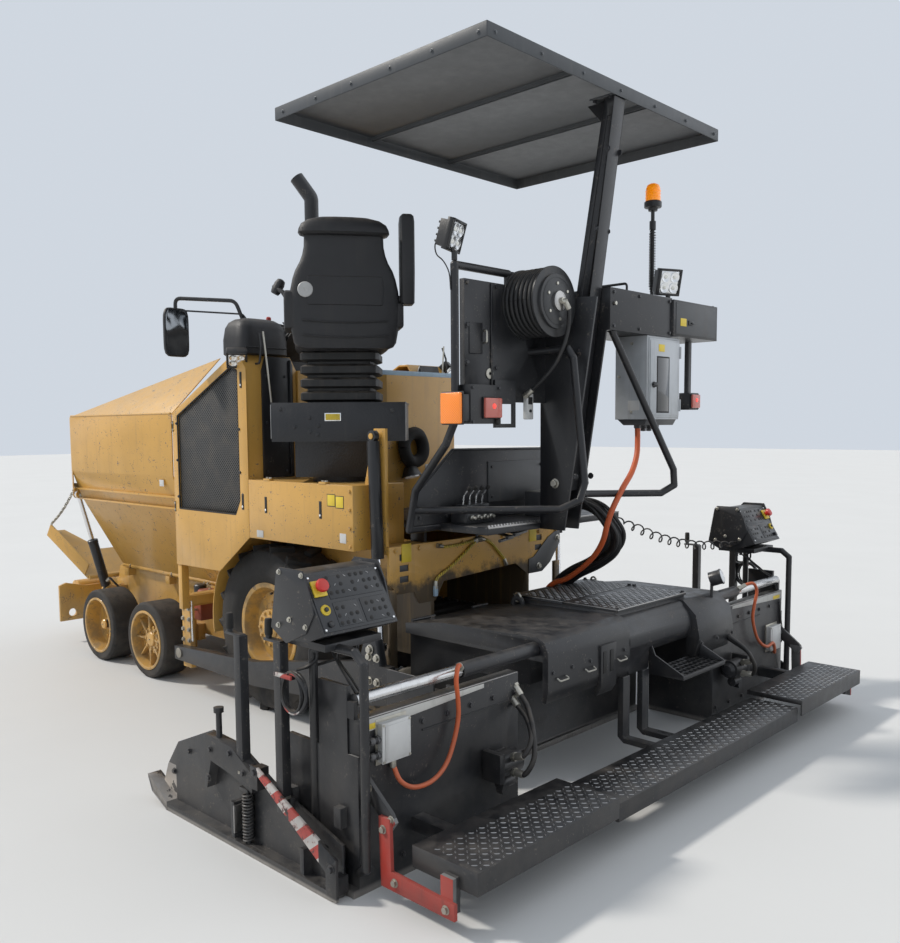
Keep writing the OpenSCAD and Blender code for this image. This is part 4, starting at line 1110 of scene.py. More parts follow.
class PAVER_OT_hopper(bpy.types.Operator):
    """Bolts, pins, blank plates and the hanging chain of the hopper."""

    bl_idname = "paver.hopper"
    bl_label = "Hopper"

    def execute(self, context):
        parts = bolts([(2360, 878, 1300)], LEFT, 20, "painted_bolt")
        for x, face in ((2433, BACK), (2526, AHEAD)):
            parts += bolts([(x, 790, 1250)], face, 30)
        parts += sign("white", (1010, 874.5, 1400), LEFT, 56, 44)
        for x in (1030, 1680, 2330):
            parts.append(button("zinc", 24, 6, 6, stood((x - 55, 470, 660), BACK), 20))
        parts.append(strand("paint", [(870, 873, 1868), (2385, 873, 1868)], 7, 8))
        on_both_sides("wing_fittings_SIDE", parts, "SIDE_wing")

        for side, s in SIDES:
            links = []
            top, foot = Vector((2528, s * 806, 1292)), Vector((3020, s * 796, 978))
            count, sag = 17, 26
            ring = [(13 * cos(t) + (11 if cos(t) > 0 else -11), 9 * sin(t), 0)
                    for t in angles(16)]
            link = strand("zinc", ring, 4.2, 8, Matrix.Identity(4))
            way = (foot - top).normalized()
            for i in range(count):
                share = (i + 0.5) / count
                here = top.lerp(foot, share) - Vector((0, 0, sag * sin(pi * (i + 0.5) / count)))
                width = Vector(LEFT if i % 2 else UP)
                width = (width - way * width.dot(way)).normalized()
                turn = Matrix((way, width, way.cross(width))).transposed().to_4x4()
                links.append(copied(link, Matrix.Translation(at(*here)) @ turn))
            bpy.data.objects.remove(link)
            joined(f"apron_chain_{side}", links, f"{side}_wing", 60)

        for side, s in SIDES:
            lean = stood((2490, s * 585, 460), (0, s * 205, 790))
            parts = [turned("black", [(18.4, 404), (41, 404), (41, 426), (36, 430), (18.4, 430)], lean, 28)]
            parts += [chamfered("zinc", 11, 22, 7, 24, lean @ shifted(-36, 0, height, -pi / 2, "Y"), 12)
                      for height in (360, 90)]
            joined(f"wing_cylinder_ports_{side}", parts, f"wing_barrel_{side}")

        flights = []
        for x in range(-840, 2500, 75):
            for y in (-398, 398):
                flights.append(block("chain_steel", (x, y - 9, 601), (x + 46, y + 9, 617), 3))
        joined("conveyor_chain", flights, "tractor")
        return {"FINISHED"}


# The pin that the seat's box swings about, and how far it is swung in, in degrees
SEAT_PIN, SEAT_SWING = (-550, 570, 0), 46


def seat_box(turn=0):
    """The matrix of the seat's box, or of the seat that is swivelled on it by some degrees."""
    return Matrix.Translation(at(*SEAT_PIN)) @ Matrix.Rotation(radians(turn - SEAT_SWING), 4, "Z")


class PAVER_OT_seat(bpy.types.Operator):
    """The operator's seat with its shell, pads, bellows and armrests."""

    bl_idname = "paver.seat"
    bl_label = "Seat"

    def execute(self, context):
        stand = seat_box(10)
        parts = []
        rings = []
        fold = ((0, 0.84), (5, 0.84), (10, 0.94), (16, 1.0), (52, 1.0), (60, 0.95), (66, 0.84))
        for z in (1906, 1980, 2054, 2128):
            for rise, grow in fold:
                rings.append(oval(z + rise, -206 * grow, 206 * grow, 222 * grow, 9, 40))
        parts.append(lofted("rubber_clean", rings, seat_box()))
        parts.append(lofted("seat", ovals((
            (2188, -246, 214, 216), (2196, -262, 240, 244), (2214, -266, 262, 262), (2300, -262, 276, 274),
            (2326, -250, 268, 266)), 6), stand))
        shell = [(2194, 236), (2204, 262), (2225, 276), (2331, 296), (2416, 299), (2501, 291), (2564, 277),
                 (2607, 262), (2650, 238), (2690, 223), (2734, 214), (2792, 212), (2800, 206)]
        back = ovals(((z, -346 if 2204 < z < 2800 else -338, -228, w) for z, w in shell), 5, 48)
        parts.append(lofted("seat", back, stand))
        cap = [(2786, -350, -246, 216), (2791, -372, -240, 235), (2802, -382, -238, 244),
               (2820, -382, -240, 241),
               (2846, -376, -246, 228), (2868, -364, -256, 194), (2882, -348, -268, 136),
               (2887, -330, -288, 76)]
        parts.append(lofted("seat", ovals(cap, 3.4, 48), stand))
        parts.append(lofted("seat", ovals((
            (2420, -346, -338, 196), (2424, -350, -338, 202), (2500, -351, -338, 208),
            (2570, -350, -338, 202),
            (2574, -346, -338, 196)), 5, 40), stand))
        for low, high in (((-330, 262, 2296), (-64, 326, 2494)), ((-330, -318, 2306), (-64, -262, 2440))):
            parts.append(block("seat", low, high, 14, stand))
        parts.append(block("seat", (-270, 270, 2488), (-90, 322, 2506), 8, stand))
        arm = [(2432, -346, -256, 30), (2441, -350, -250, 38), (2600, -352, -248, 41), (2870, -352, -250, 41),
               (2902, -346, -256, 37), (2914, -332, -270, 26)]
        folded = [[(x, y - 340, z) for x, y, z in ring] for ring in ovals(arm, 5, 28)]
        parts.append(lofted("seat", folded, stand))
        parts.append(turned("seat", [(0, -46), (24, -46), (24, 46), (0, 46)],
                            stand @ shifted(-290, -290, 2460, pi / 2, "X"), 20))
        parts.append(strand("black", [(-180, 312, 2480), (-165, 330, 2510), (-120, 378, 2545)], 13, 12,
                            stand))
        grip = [(0, 22), (14, 27), (58, 29), (82, 22), (88, 10)]
        parts.append(lofted("seat", ovals(((z, -r, r, r) for z, r in grip), 2, 20),
                            stand @ shifted(-124, 374, 2505, 0.5, "X")))
        disc = stand @ shifted(-347, 212, 2500, -pi / 2, "Y")
        parts.append(turned("white", [(0, 0), (41, 0), (41, 4), (37, 8), (10, 8.5), (7, 6.5), (0, 6.5)],
                            disc, 32))
        for z in (2250, 2330):
            seam = [(-349, y, z + 0.0002 * y * y) for y in range(-230, 231, 20)]
            parts.append(strand("seat", seam, 5, 8, stand))
        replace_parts(joined("seat_shell", parts, "seat"), "seat")

        pad = ovals(((2326, -226, 262, 226), (2330, -240, 280, 244), (2352, -244, 292, 252),
                     (2376, -240, 292, 250),
                     (2390, -228, 280, 238), (2395, -200, 250, 205), (2388, -150, 190, 140),
                     (2386, -70, 110, 70)),
                    5, 40)
        cushion = joined("seat_cushion", [lofted("fabric", pad, stand, 1)], "seat", 70)
        back = []
        for x, low, high, w in ((-232, 2350, 2790, 196), (-222, 2338, 2802, 212), (-190, 2336, 2806, 220),
                                (-168, 2346, 2796, 212), (-158, 2372, 2770, 186), (-166, 2420, 2720, 120),
                                (-168, 2500, 2640, 60)):
            ring = oval(0, low, high, w, 4.2, 44)
            back.append([(x + (0.00032 * y * y if x > -200 else 0), y, z) for z, y, _ in ring])
        rest = joined("seat_back_pad", [lofted("fabric", back, stand, 1)], "seat", 70)

        stand = seat_box()
        turn = (stand.to_3x3() @ Vector(BACK)).to_track_quat("Z", "Y").to_matrix().to_4x4()
        box = [bolt("black_bolt", Matrix.Translation(stand @ Vector((-0.2502, y / 1000, z / 1000))) @ turn
                    @ Matrix.Scale(0.016, 4))
               for y, z in ((159, 1823), (243, 1772), (111, 1779), (159, 1745), (116, 1729),
                            (-300, 1860), (320, 1870))]
        face = stand @ shifted(-250.2, 30, 1825, -pi / 2, "Y")
        box.append(block("yellow_mark", (-17, -40, 0), (17, 40, 2.2), 0.5, face))
        box.append(block("bright", (-22, -45, 0), (22, 45, 1.2), 0.5, face))
        edge = stand @ shifted(0, 372, 1690)
        box.append(block("white", (-246, 0, 18), (-170, 2.5, 205), 0.6, edge))
        box.append(block("black", (-252, -744, 208), (252, -740, 217), 1, edge))
        box.append(block("black", (-252, -2, 208), (172, 2, 217), 1, edge))
        joined("seat_box_fittings", box, "seat")
        return {"FINISHED"}


class PAVER_OT_console(bpy.types.Operator):
    """The steering wheel, gauges and switches of the operator's console."""

    bl_idname = "paver.console"
    bl_label = "Console"

    def execute(self, context):
        stand = Matrix.Translation(at(60, 370, 2290)) @ Matrix.Rotation(radians(60), 4, "Y")
        parts = []
        rim = [(143 * cos(t), 143 * sin(t), 20) for t in (tau * i / 40 for i in range(40))]
        rim.append(rim[0])
        parts.append(strand("seat", rim, 13, 12, stand))
        parts.append(turned("seat", [(0, 0), (42, 0), (46, 10), (40, 26), (24, 32), (0, 33)], stand, 24))
        for turn in (0.5, 2.6, 4.71):
            far = (134 * cos(turn), 134 * sin(turn), 20)
            parts.append(strand("black", [(26 * cos(turn), 26 * sin(turn), 20), far], 8, 8, stand))
        parts.append(turned("black", [(0, 0), (12, 0), (19, 14), (19, 34), (12, 42), (0, 43)],
                            stand @ shifted(100, -100, 30), 18))
        joined("steering_wheel", parts, "tractor", 50)
        panel = stood((130, 370, 2412), (-0.45, 0, 1), AHEAD)
        parts = []
        for i in range(5):
            for j in range(2):
                x, y = -95 + i * 40, -12 + j * 34
                parts.append(block("seat", (x, y, 0), (x + 24, y + 20, 9), 2, panel))
        face = [turned("black", [(0, 0), (34, 0), (34, 10), (30, 12), (28, 8), (0, 8)],
                       stood((240, 300 + 70 * i, 2420), (-0.2, 0, 1)), 24) for i in range(3)]
        glass = [button("glass", 28, 1.5, 1.5, stood((239, 300 + 70 * i, 2429), (-0.2, 0, 1)), 24)
                 for i in range(3)]
        for y in (280, 455):
            parts.append(strand("black", [(350, y, 2395), (330, y, 2460)], 7, 8))
            parts.append(turned("red" if y > 400 else "black", [(0, 0), (12, 0), (17, 12), (14, 26), (0, 30)],
                                stood((331, y, 2456), (-0.3, 0, 1)), 16))
        joined("console_controls", parts + face + glass, "tractor")
        return {"FINISHED"}


class PAVER_OT_rear(bpy.types.Operator):
    """Tail lamps, hose reel, cabinet door and boxes of the rear guard."""

    bl_idname = "paver.rear"
    bl_label = "Rear guard"

    def execute(self, context):
        parts = [
            block("black", (-1686, 720, 1792), (-1636, 772, 1922), 4),
            block("black", (-1690, 768, 1776), (-1546, 776, 1936), 3),
            block("amber", (-1685, 774, 1781), (-1551, 792, 1931), 7),
            block("dark", (-1697, 506, 1804), (-1688, 640, 1912), 3),
            block("tail_lens", (-1712, 511, 1809), (-1694, 635, 1907), 6),
            turned("ruby_lit", [(0, 0), (13, 0), (11, 3), (0, 4)], stood((-1712, 573, 1866), BACK), 18),
            chamfered("rubber", 16, 8, 11, 14, stood((-1690, 530, 1790), BACK), 18),
            block("white", (-1656, 196, 1802), (-1629, 252, 1936), 5),
            block("dark", (-1659, 208, 1880), (-1655, 240, 1918), 1.5),
            button("black", 8, 5, 6, stood((-1656, 224, 1846), BACK), 14),
            block("black", (-1636, 300, 2486), (-1628, 336, 2540), 1.5),
            block("dark", (-1634, 90, 2522), (-1629, 250, 2532), 1),
            block("dark", (-1634, 90, 2496), (-1629, 250, 2506), 1),
        ]
        parts += bolts([(-1690, 708, 1956), (-1690, 514, 1956), (-1690, 708, 1790)], BACK, 14, "black_bolt")
        parts += bolts([(-1631, 684, z) for z in (1910, 2080, 2260, 2464)], BACK, 18, "black_bolt")
        parts += bolts([(-1631, 470, z) for z in (2060, 2464)], BACK, 18, "black_bolt")
        parts.append(block("black", (-1640, 500, 1965), (-1629, 512, 2474), 2))
        parts += sign("black", (-1633, 620, 2200), BACK, 96, 150)
        parts.append(bent("zinc", [(-1634, 560, 2240), (-1652, 560, 2240), (-1652, 560, 2180),
                                             (-1634, 560, 2180)], 10, 5, 8))
        parts.append(turned("zinc", [(9, 0), (26, 0), (26, 5), (9, 7)], stood((-1631, 520, 2030), BACK), 22))
        joined("rear_guard_fittings", parts, "tractor")

        reel_y, reel_z = 248, 2390
        hub = stood((-1848, reel_y, reel_z), BACK)
        parts = [
            turned("disc_grey", [(0, 0), (118, 0), (118, 3), (110, 7), (60, 9), (0, 9)], hub, 48),
            turned("worn_steel", [(0, 8), (50, 8), (50, 22), (44, 26), (20, 27), (0, 27)], hub, 32),
            turned("zinc", [(0, 26), (17, 26), (17, 40), (0, 41)], hub, 6),
        ]
        parts += bolts(ringed((-1853, reel_y, reel_z), 88, 6, "x", 0.4), BACK, 15)
        bend = [(-1862, reel_y, reel_z), (-1888, 240, 2384), (-1897, 218, 2350)]
        parts.append(strand("zinc", flowing(bend), 14, 12))
        joined("reel_hub", parts, "tractor")
        layers = [[(-1654 - 29 * i, reel_y + 160 * cos(t), reel_z + 160 * sin(t))
                   for t in angles(56)]
                  for i in range(6)]
        joined("reel_winding", [strand("hose", ring, 13, 12) for ring in layers], "tractor", 60)
        hose("reel_hose", "hose", flowing(bend + [
            (-1880, 196, 2270), (-1856, 200, 2180), (-1815, 212, 2090), (-1750, 226, 2015),
            (-1690, 238, 1962),
            (-1652, 244, 1930)]), 22, "tractor")

        door = -1958
        parts = [
            block("light", (door - 5, -757, 1824), (door + 1, -448, 2236), 3),
            block("rubber", (door - 6.5, -646, 1836), (door - 4, -512, 2150), 1.5),
            block("glass", (door - 7.5, -638, 1844), (door - 5, -520, 2142), 1.5),
            turned("black", [(0, 0), (17, 0), (17, 4), (13, 8), (13, 20), (10, 24), (0, 24)],
                   stood((door - 5, -480, 1991), BACK), 22),
            block("black", (door - 34, -488, 1984), (door - 18, -440, 1998), 4),
        ]
        parts += sign("yellow_mark", (door - 5, -560, 2196), BACK, 62, 40)
        for z in (1880, 2180):
            parts.append(turned("light", [(0, -34), (8, -34), (8, 34), (0, 34)],
                                stood((door - 2, -766, z), UP), 14))
        parts += bolts([(-1852, -430, 2220), (-1852, -430, 1840), (-1770, -430, 2040)], LEFT, 12)
        parts.append(block("white", (-1905, -433, 1850), (-1830, -428, 1905), 1))
        parts.append(plate("dark_grey", "y", -760, -445,
                           [(-1945, 1801), (-1925, 1768), (-1790, 1768), (-1750, 1801)], 3))
        for y in (-500, -560, -620, -690):
            parts.append(turned("black", [(0, 0), (20, 0), (20, 16), (15, 20), (15, 34), (0, 36)],
                                stood((-1850, y, 1769), DOWN), 6))
        joined("cabinet_door", parts, "tractor")

        parts = [
            block("dark_grey", (-1978, -1150, 2284), (-1974, -690, 2460), 2),
            block("yellow_mark", (-1980, -800, 2330), (-1977, -735, 2374), 0.8),
            block("black", (-1984, -880, 2338), (-1977, -820, 2366), 3),
            block("black", (-1991, -878, 2346), (-1983, -846, 2356), 2),
            block("dark", (-1868, -1166, 1866), (-1859, -1066, 1956), 3),
            block("tail_lens", (-1880, -1162, 1870), (-1864, -1070, 1952), 6),
            turned("ruby_lit", [(0, 0), (12, 0), (10, 3), (0, 4)], stood((-1880, -1116, 1918), BACK), 18),
            bent("black", [(-1640, -300, 2484), (-1640, -300, 2530), (-1900, -300, 2530),
                                     (-1900, -300, 2484)],
                                    18, 7, 8),
            button("zinc", 10, 10, 11, stood((-1964, -90, 2400), BACK), 16),
        ]
        parts += bolts([(-1960, y, z) for y in (-86, -330, -640) for z in (2284, 2458)], BACK, 16,
                       "black_bolt")
        parts += bolts([(-1620, -1160, 2472), (-1950, -1160, 2472)], UP, 14, "black_bolt")
        for y, way in ((-67, RIGHT), (67, LEFT)):
            parts += bolts([(-1835, y, 1500), (-1835, y, 1900), (-1850, y, 2150)], way, 22, "black_bolt")
            parts += bolts([(-1700, y, 1460)], way, 34)
        joined("rear_box_fittings", parts, "tractor")
        return {"FINISHED"}


class PAVER_OT_lamps(bpy.types.Operator):
    """Work lamp faces, the small tower lamps and the beacon."""

    bl_idname = "paver.lamps"
    bl_label = "Lamps"

    def face(self, stand, wide, cells=2):
        """A frame with reflector cups, standing on a plane."""
        half, rim = wide / 2, 12
        parts = []
        for x0, y0, x1, y1 in ((-half, -half, half, -half + rim), (-half, half - rim, half, half),
                               (-half, -half, -half + rim, half), (half - rim, -half, half, half)):
            parts.append(block("lamp", (x0, y0, 0), (x1, y1, 9), 3, stand))
        parts.append(block("bright", (-half + 10, -half + 10, 0), (half - 10, half - 10, 1.5), 0.5, stand))
        reach = (wide - 30) / cells / 2
        for i in range(cells):
            for j in range(cells):
                spot = stand @ shifted((2 * i - cells + 1) * reach, (2 * j - cells + 1) * reach, 0)
                r = reach - 1.5
                cup = [(r - 2, 1), (r, 1), (r, 7), (r * 0.45, 2.6), (0, 2.2), (0, 1.2), (4, 1.2)]
                cell = [(0, 1.5), (r * 0.42, 1.5), (r * 0.36, 5.5), (r * 0.2, 7), (0, 7.4)]
                parts += [turned("bright", cup, spot, 20), turned("led", cell, spot, 16)]
        return parts

    def execute(self, context):
        heads = []
        for place, tilt, turn in (((-1560, 715, 2690), -16, 20), ((-1870, -760, 2590), -14, -25)):
            stand = (Matrix.Translation(at(*place)) @ Matrix.Rotation(radians(turn), 4, "Z")
                     @ Matrix.Rotation(radians(tilt), 4, "Y") @ shifted(-28, 0, 0, -pi / 2, "Y"))
            heads += self.face(stand, 150)
        for s in (1, -1):
            tower = stood((38, s * 893, 2170), (-0.55, s * 0.35, -0.75))
            heads += [block("lamp", (-62, -60, -52), (62, 60, 0), 10, tower)] + self.face(tower, 122)
        down = stood((-470, -52, 1452), (-0.25, 0, -1))
        heads += [
            lofted("lamp",
                   ovals(((z, -r, r, r) for z, r in ((-70, 22), (-60, 36), (-6, 58), (0, 60))), 3, 20), down),
            turned("bright", [(0, 0), (52, 0), (52, 4), (38, 2), (0, 1)], down, 24),
            turned("clear", [(0, 1), (50, 1), (44, 7), (0, 10)], down, 24),
            bent("black", [(-466, -52, 1505), (-440, -52, 1560), (-419, -52, 1560)], 20, 9, 8),
        ]
        joined("lamp_faces", heads, "tractor")
        x, y, z = -1700, -880, 3036
        stand = Matrix.Translation(at(x, y, z))
        bell = [(0, 57), (44.5, 57), (44.5, 64), (42.6, 130), (36, 148.5), (19, 158.5), (0, 159.5)]
        dome = [turned("amber_lit", bell, stand, 40)]
        for low in (74, 92, 110):
            dome.append(turned("amber_lit", [(43.5, low), (45.6, low + 2), (45.4, low + 6), (43.5, low + 8)],
                               stand, 40))
        dome.append(turned("black", [(49, 22), (51.5, 24), (51.5, 50), (49, 52)], stand, 36))
        dome.append(turned("black", [(11.5, -110), (19, -110), (19, -60), (11.5, -56)], stand, 20))
        joined("beacon_dome", dome, "tractor", 40)
        pole = [Vector((x, y, z)) for z in range(2520, 2990, 20)]
        cable("beacon_cable", curled(pole, 17.5, 30), 7, "tractor", None)
        cable("lamp_cable", flowing([
            (-1532, 762, 2680), (-1528, 792, 2640), (-1545, 800, 2590), (-1580, 790, 2555),
            (-1600, 772, 2500),
            (-1606, 768, 2420)], 4), 7, "tractor", None)
        return {"FINISHED"}


class PAVER_OT_mirror(bpy.types.Operator):
    """The side mirror on its bent arm."""

    bl_idname = "paver.mirror"
    bl_label = "Mirror"

    def execute(self, context):
        turn = stood((500, 1015, 2360), AHEAD)
        shell = [(0, 78, 143), (2, 83, 148), (12, 85, 150), (26, 80, 144), (36, 62, 124), (40, 30, 80)]
        glass = [(-1.2, 74, 139), (-1.4, 75, 140), (1.5, 75, 140)]
        parts = [
            lofted("seat", ovals(((depth, -wide, wide, high) for depth, wide, high in shell), 6, 40), turn),
            lofted("mirror_glass", ovals(((depth, -wide, wide, high) for depth, wide, high in glass), 6, 40),
                   turn),
            bent("black", [(520, 1010, 2490), (520, 1010, 2570), (180, 800, 2540),
                                     (110, 700, 2215)], 55, 12),
            bent("black", [(520, 1010, 2470), (500, 990, 2495), (150, 770, 2460), (124, 735, 2400)],
                                    30, 6, 8),
            block("black", (506, 994, 2440), (534, 1026, 2500), 5),
            block("black", (80, 670, 2205.3), (124, 730, 2219), 3),
        ]
        parts += bolts([(92, 684, 2219), (112, 716, 2219)], UP, 16)
        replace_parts(joined("side_mirror_shell", parts, "tractor"), "side_mirror")
        return {"FINISHED"}


class PAVER_OT_roof(bpy.types.Operator):
    """Bolts and edges of the canopy and its mast."""

    bl_idname = "paver.roof"
    bl_label = "Canopy"

    def execute(self, context):
        rail = []
        for s in (-1, 1):
            rail += bolts(row((-2000, s * 1003, 3420), (-620, s * 1003, 3420), 6), (0, s, 0), 13, "grey_bolt")
        rail += bolts(row((-2050, -950, 3420), (-2050, 950, 3420), 7), BACK, 13, "grey_bolt")
        rail += bolts([(x, y, 3390) for x in (-2020, -1925) for y in (-45, 45)], DOWN, 18, "black_bolt")
        rail.append(block("grey", (-2044, -335, 3424), (-558, -328, 3432), 1.5))
        rail.append(block("grey", (-2044, 317, 3424), (-558, 324, 3432), 1.5))
        joined("roof_fittings", rail, "canopy")
        foot_x, foot_z = -1700, 1420
        mast = []
        for z in range(1620, 3520, 380):
            x = foot_x - (z - foot_z) * 0.1726
            for s in (-1, 1):
                mast += bolts([(x - 12, s * 49, z)], (0, s, 0), 20, "black_bolt")
        front = 0.168
        mast.append(strand("hose",
                           [(foot_x - (z - foot_z) * front + 56, 0, z) for z in range(1500, 3380, 60)], 6, 8))
        for z in range(1560, 3480, 320):
            x = foot_x - (z - foot_z) * front + 50
            mast.append(block("black", (x - 6, -9, z - 6), (x + 14, 9, z + 6), 2))
        joined("mast_fittings", mast, "canopy")
        return {"FINISHED"}


def treads(x0, x1, y0, y1, z):
    """Raised lozenges in two directions over a plate's top, made of one pair that is repeated."""
    step, edge, rise = 30, 14, 0.0024
    lozenge = ((-12, 0), (-4, -3.4), (4, -3.4), (12, 0), (4, 3.4), (-4, 3.4))
    pair = []
    for u, v, turn in ((0, 0, 45), (step, 0, -45), (0, step, -45), (step, step, 45)):
        clear_selection()
        bpy.ops.mesh.primitive_circle_add(vertices=6, fill_type="NGON")
        piece = taken("tread")
        for vertex, (a, b) in zip(piece.data.vertices, lozenge):
            vertex.co = (a / 1000, b / 1000, 0)
        edit()
        bpy.ops.mesh.extrude_region_move(TRANSFORM_OT_translate={"value": (0, 0, rise)})
        bpy.ops.transform.resize(value=(0.72, 0.5, 1))
        face_outwards()
        leave()
        shift = Matrix.Translation(at(x0 + edge + u, y0 + edge + v, z - 0.3))
        pair.append(moved(piece, shift @ Matrix.Rotation(radians(turn), 4, "Z")))
    pick(*pair)
    bpy.ops.object.join()
    piece = pair[0]
    for name, axis, reach in (("rows", 0, x1 - x0), ("columns", 1, y1 - y0)):
        repeat = piece.modifiers.new(name, "ARRAY")
        repeat.count = int((reach - edge) / step / 2)
        repeat.use_relative_offset = False
        repeat.use_constant_offset = True
        repeat.constant_offset_displace = [2 * step / 1000 if i == axis else 0 for i in range(3)]
        bpy.ops.object.modifier_apply(modifier=name)
    return piece


class PAVER_OT_screed(bpy.types.Operator):
    """Covers, tread plates, eyes and lamp of the main screed."""

    bl_idname = "paver.screed"
    bl_label = "Screed"

    def execute(self, context):
        top = 822
        plates = [treads(-2090, -1748, -636, 46, top), treads(-1738, -1396, -636, 46, top)]
        joined("cover_treads", plates, "screed", 20)
        joined("walkway_treads", [treads(-2650, -2376, -872, 872, 215)], "screed", 20)
        parts = bolts([(x, y, top) for x in (-2078, -1760, -1726, -1408) for y in (-625, 35)], UP, 18,
                      "black_bolt")
        for x0, x1 in ((-2092, -1746), (-1740, -1394)):
            parts.append(block("worn_edge", (x0, 47, 818), (x1, 51, 823.5), 1))
        parts.append(block("worn_edge", (-2094, -640, 818), (-2090, 50, 823.5), 1))
        # Two thin near-black strips: painted shade on the screed's rear face
        for y in (240, 300):
            parts.append(block("dark", (-2187, y - 14, 560), (-2183, y + 14, 668), 1.5))
        for x, z in ((-1300, 744), (-1420, 790), (-1980, 790), (-2080, 790)):
            parts += bolts([(x, 720, z)], (0, 0.1, 1), 18, "black_bolt")
        parts += bolts(row((-2172, 110, 640), (-2172, 700, 640), 5), BACK, 16, "black_bolt")
        parts += bolts([(-2226, y, 560) for y in (-940, -760, -580)], BACK, 16, "black_bolt")
        for y0, y1 in ((90, 220), (520, 690)):
            parts.append(strand("black", [(-1232, y0, 748), (-1232, y1, 748)], 9, 12))
        for y in (150, 420, 640):
            handle = [(-2178, y - 34, 610), (-2196, y - 34, 600), (-2196, y + 34, 600), (-2178, y + 34, 610)]
            parts.append(bent("zinc", handle, 9, 4, 8))
        lamp = (Matrix.Translation(at(-2130, -850, 872)) @ Matrix.Rotation(radians(20), 4, "Z")
                @ Matrix.Rotation(radians(-70), 4, "Y"))
        parts.append(turned("black", [(0, 70), (45, 70), (45, 60), (42, 58), (42, 70)], lamp, 28))
        parts.append(turned("clear", [(0, 69), (39, 69), (30, 77), (0, 80)], lamp, 28))
        for y in (-640, 90):
            eye = [(-1460 + 20 * cos(t), y, 816 + 24 * sin(t)) for t in angles(24)]
            parts.append(strand("zinc", eye, 6, 10))
        for y, way in ((61, LEFT), (-581, RIGHT)):
            parts.append(turned("black", [(0, 0), (52, 0), (52, 3), (48, 6), (24, 7), (0, 7)],
                                stood((-2060, y, 665), way), 40))
        parts += bolts(ringed((-2060, 68, 665), 38, 6), LEFT, 10, "black_bolt")
        joined("cover_fittings", parts, "screed")
        arms = bolts([(x, 860, z) for z in (560, 430) for x in (-1080, -1140)], LEFT, 30)
        arms += bolts([(-1090, 862, 600)], LEFT, 34)
        arms.append(chamfered("zinc", 34, 7, 20, 11, stood((880, 859, 250), LEFT), 28))
        arms.append(block("dark_grey", (-700, 856, 262), (-620, 863, 302), 2))
        arms += bolts([(-690, 863, 282), (-630, 863, 282)], LEFT, 14)
        on_both_sides("tow_arm_fittings_SIDE", arms, "screed")
        return {"FINISHED"}


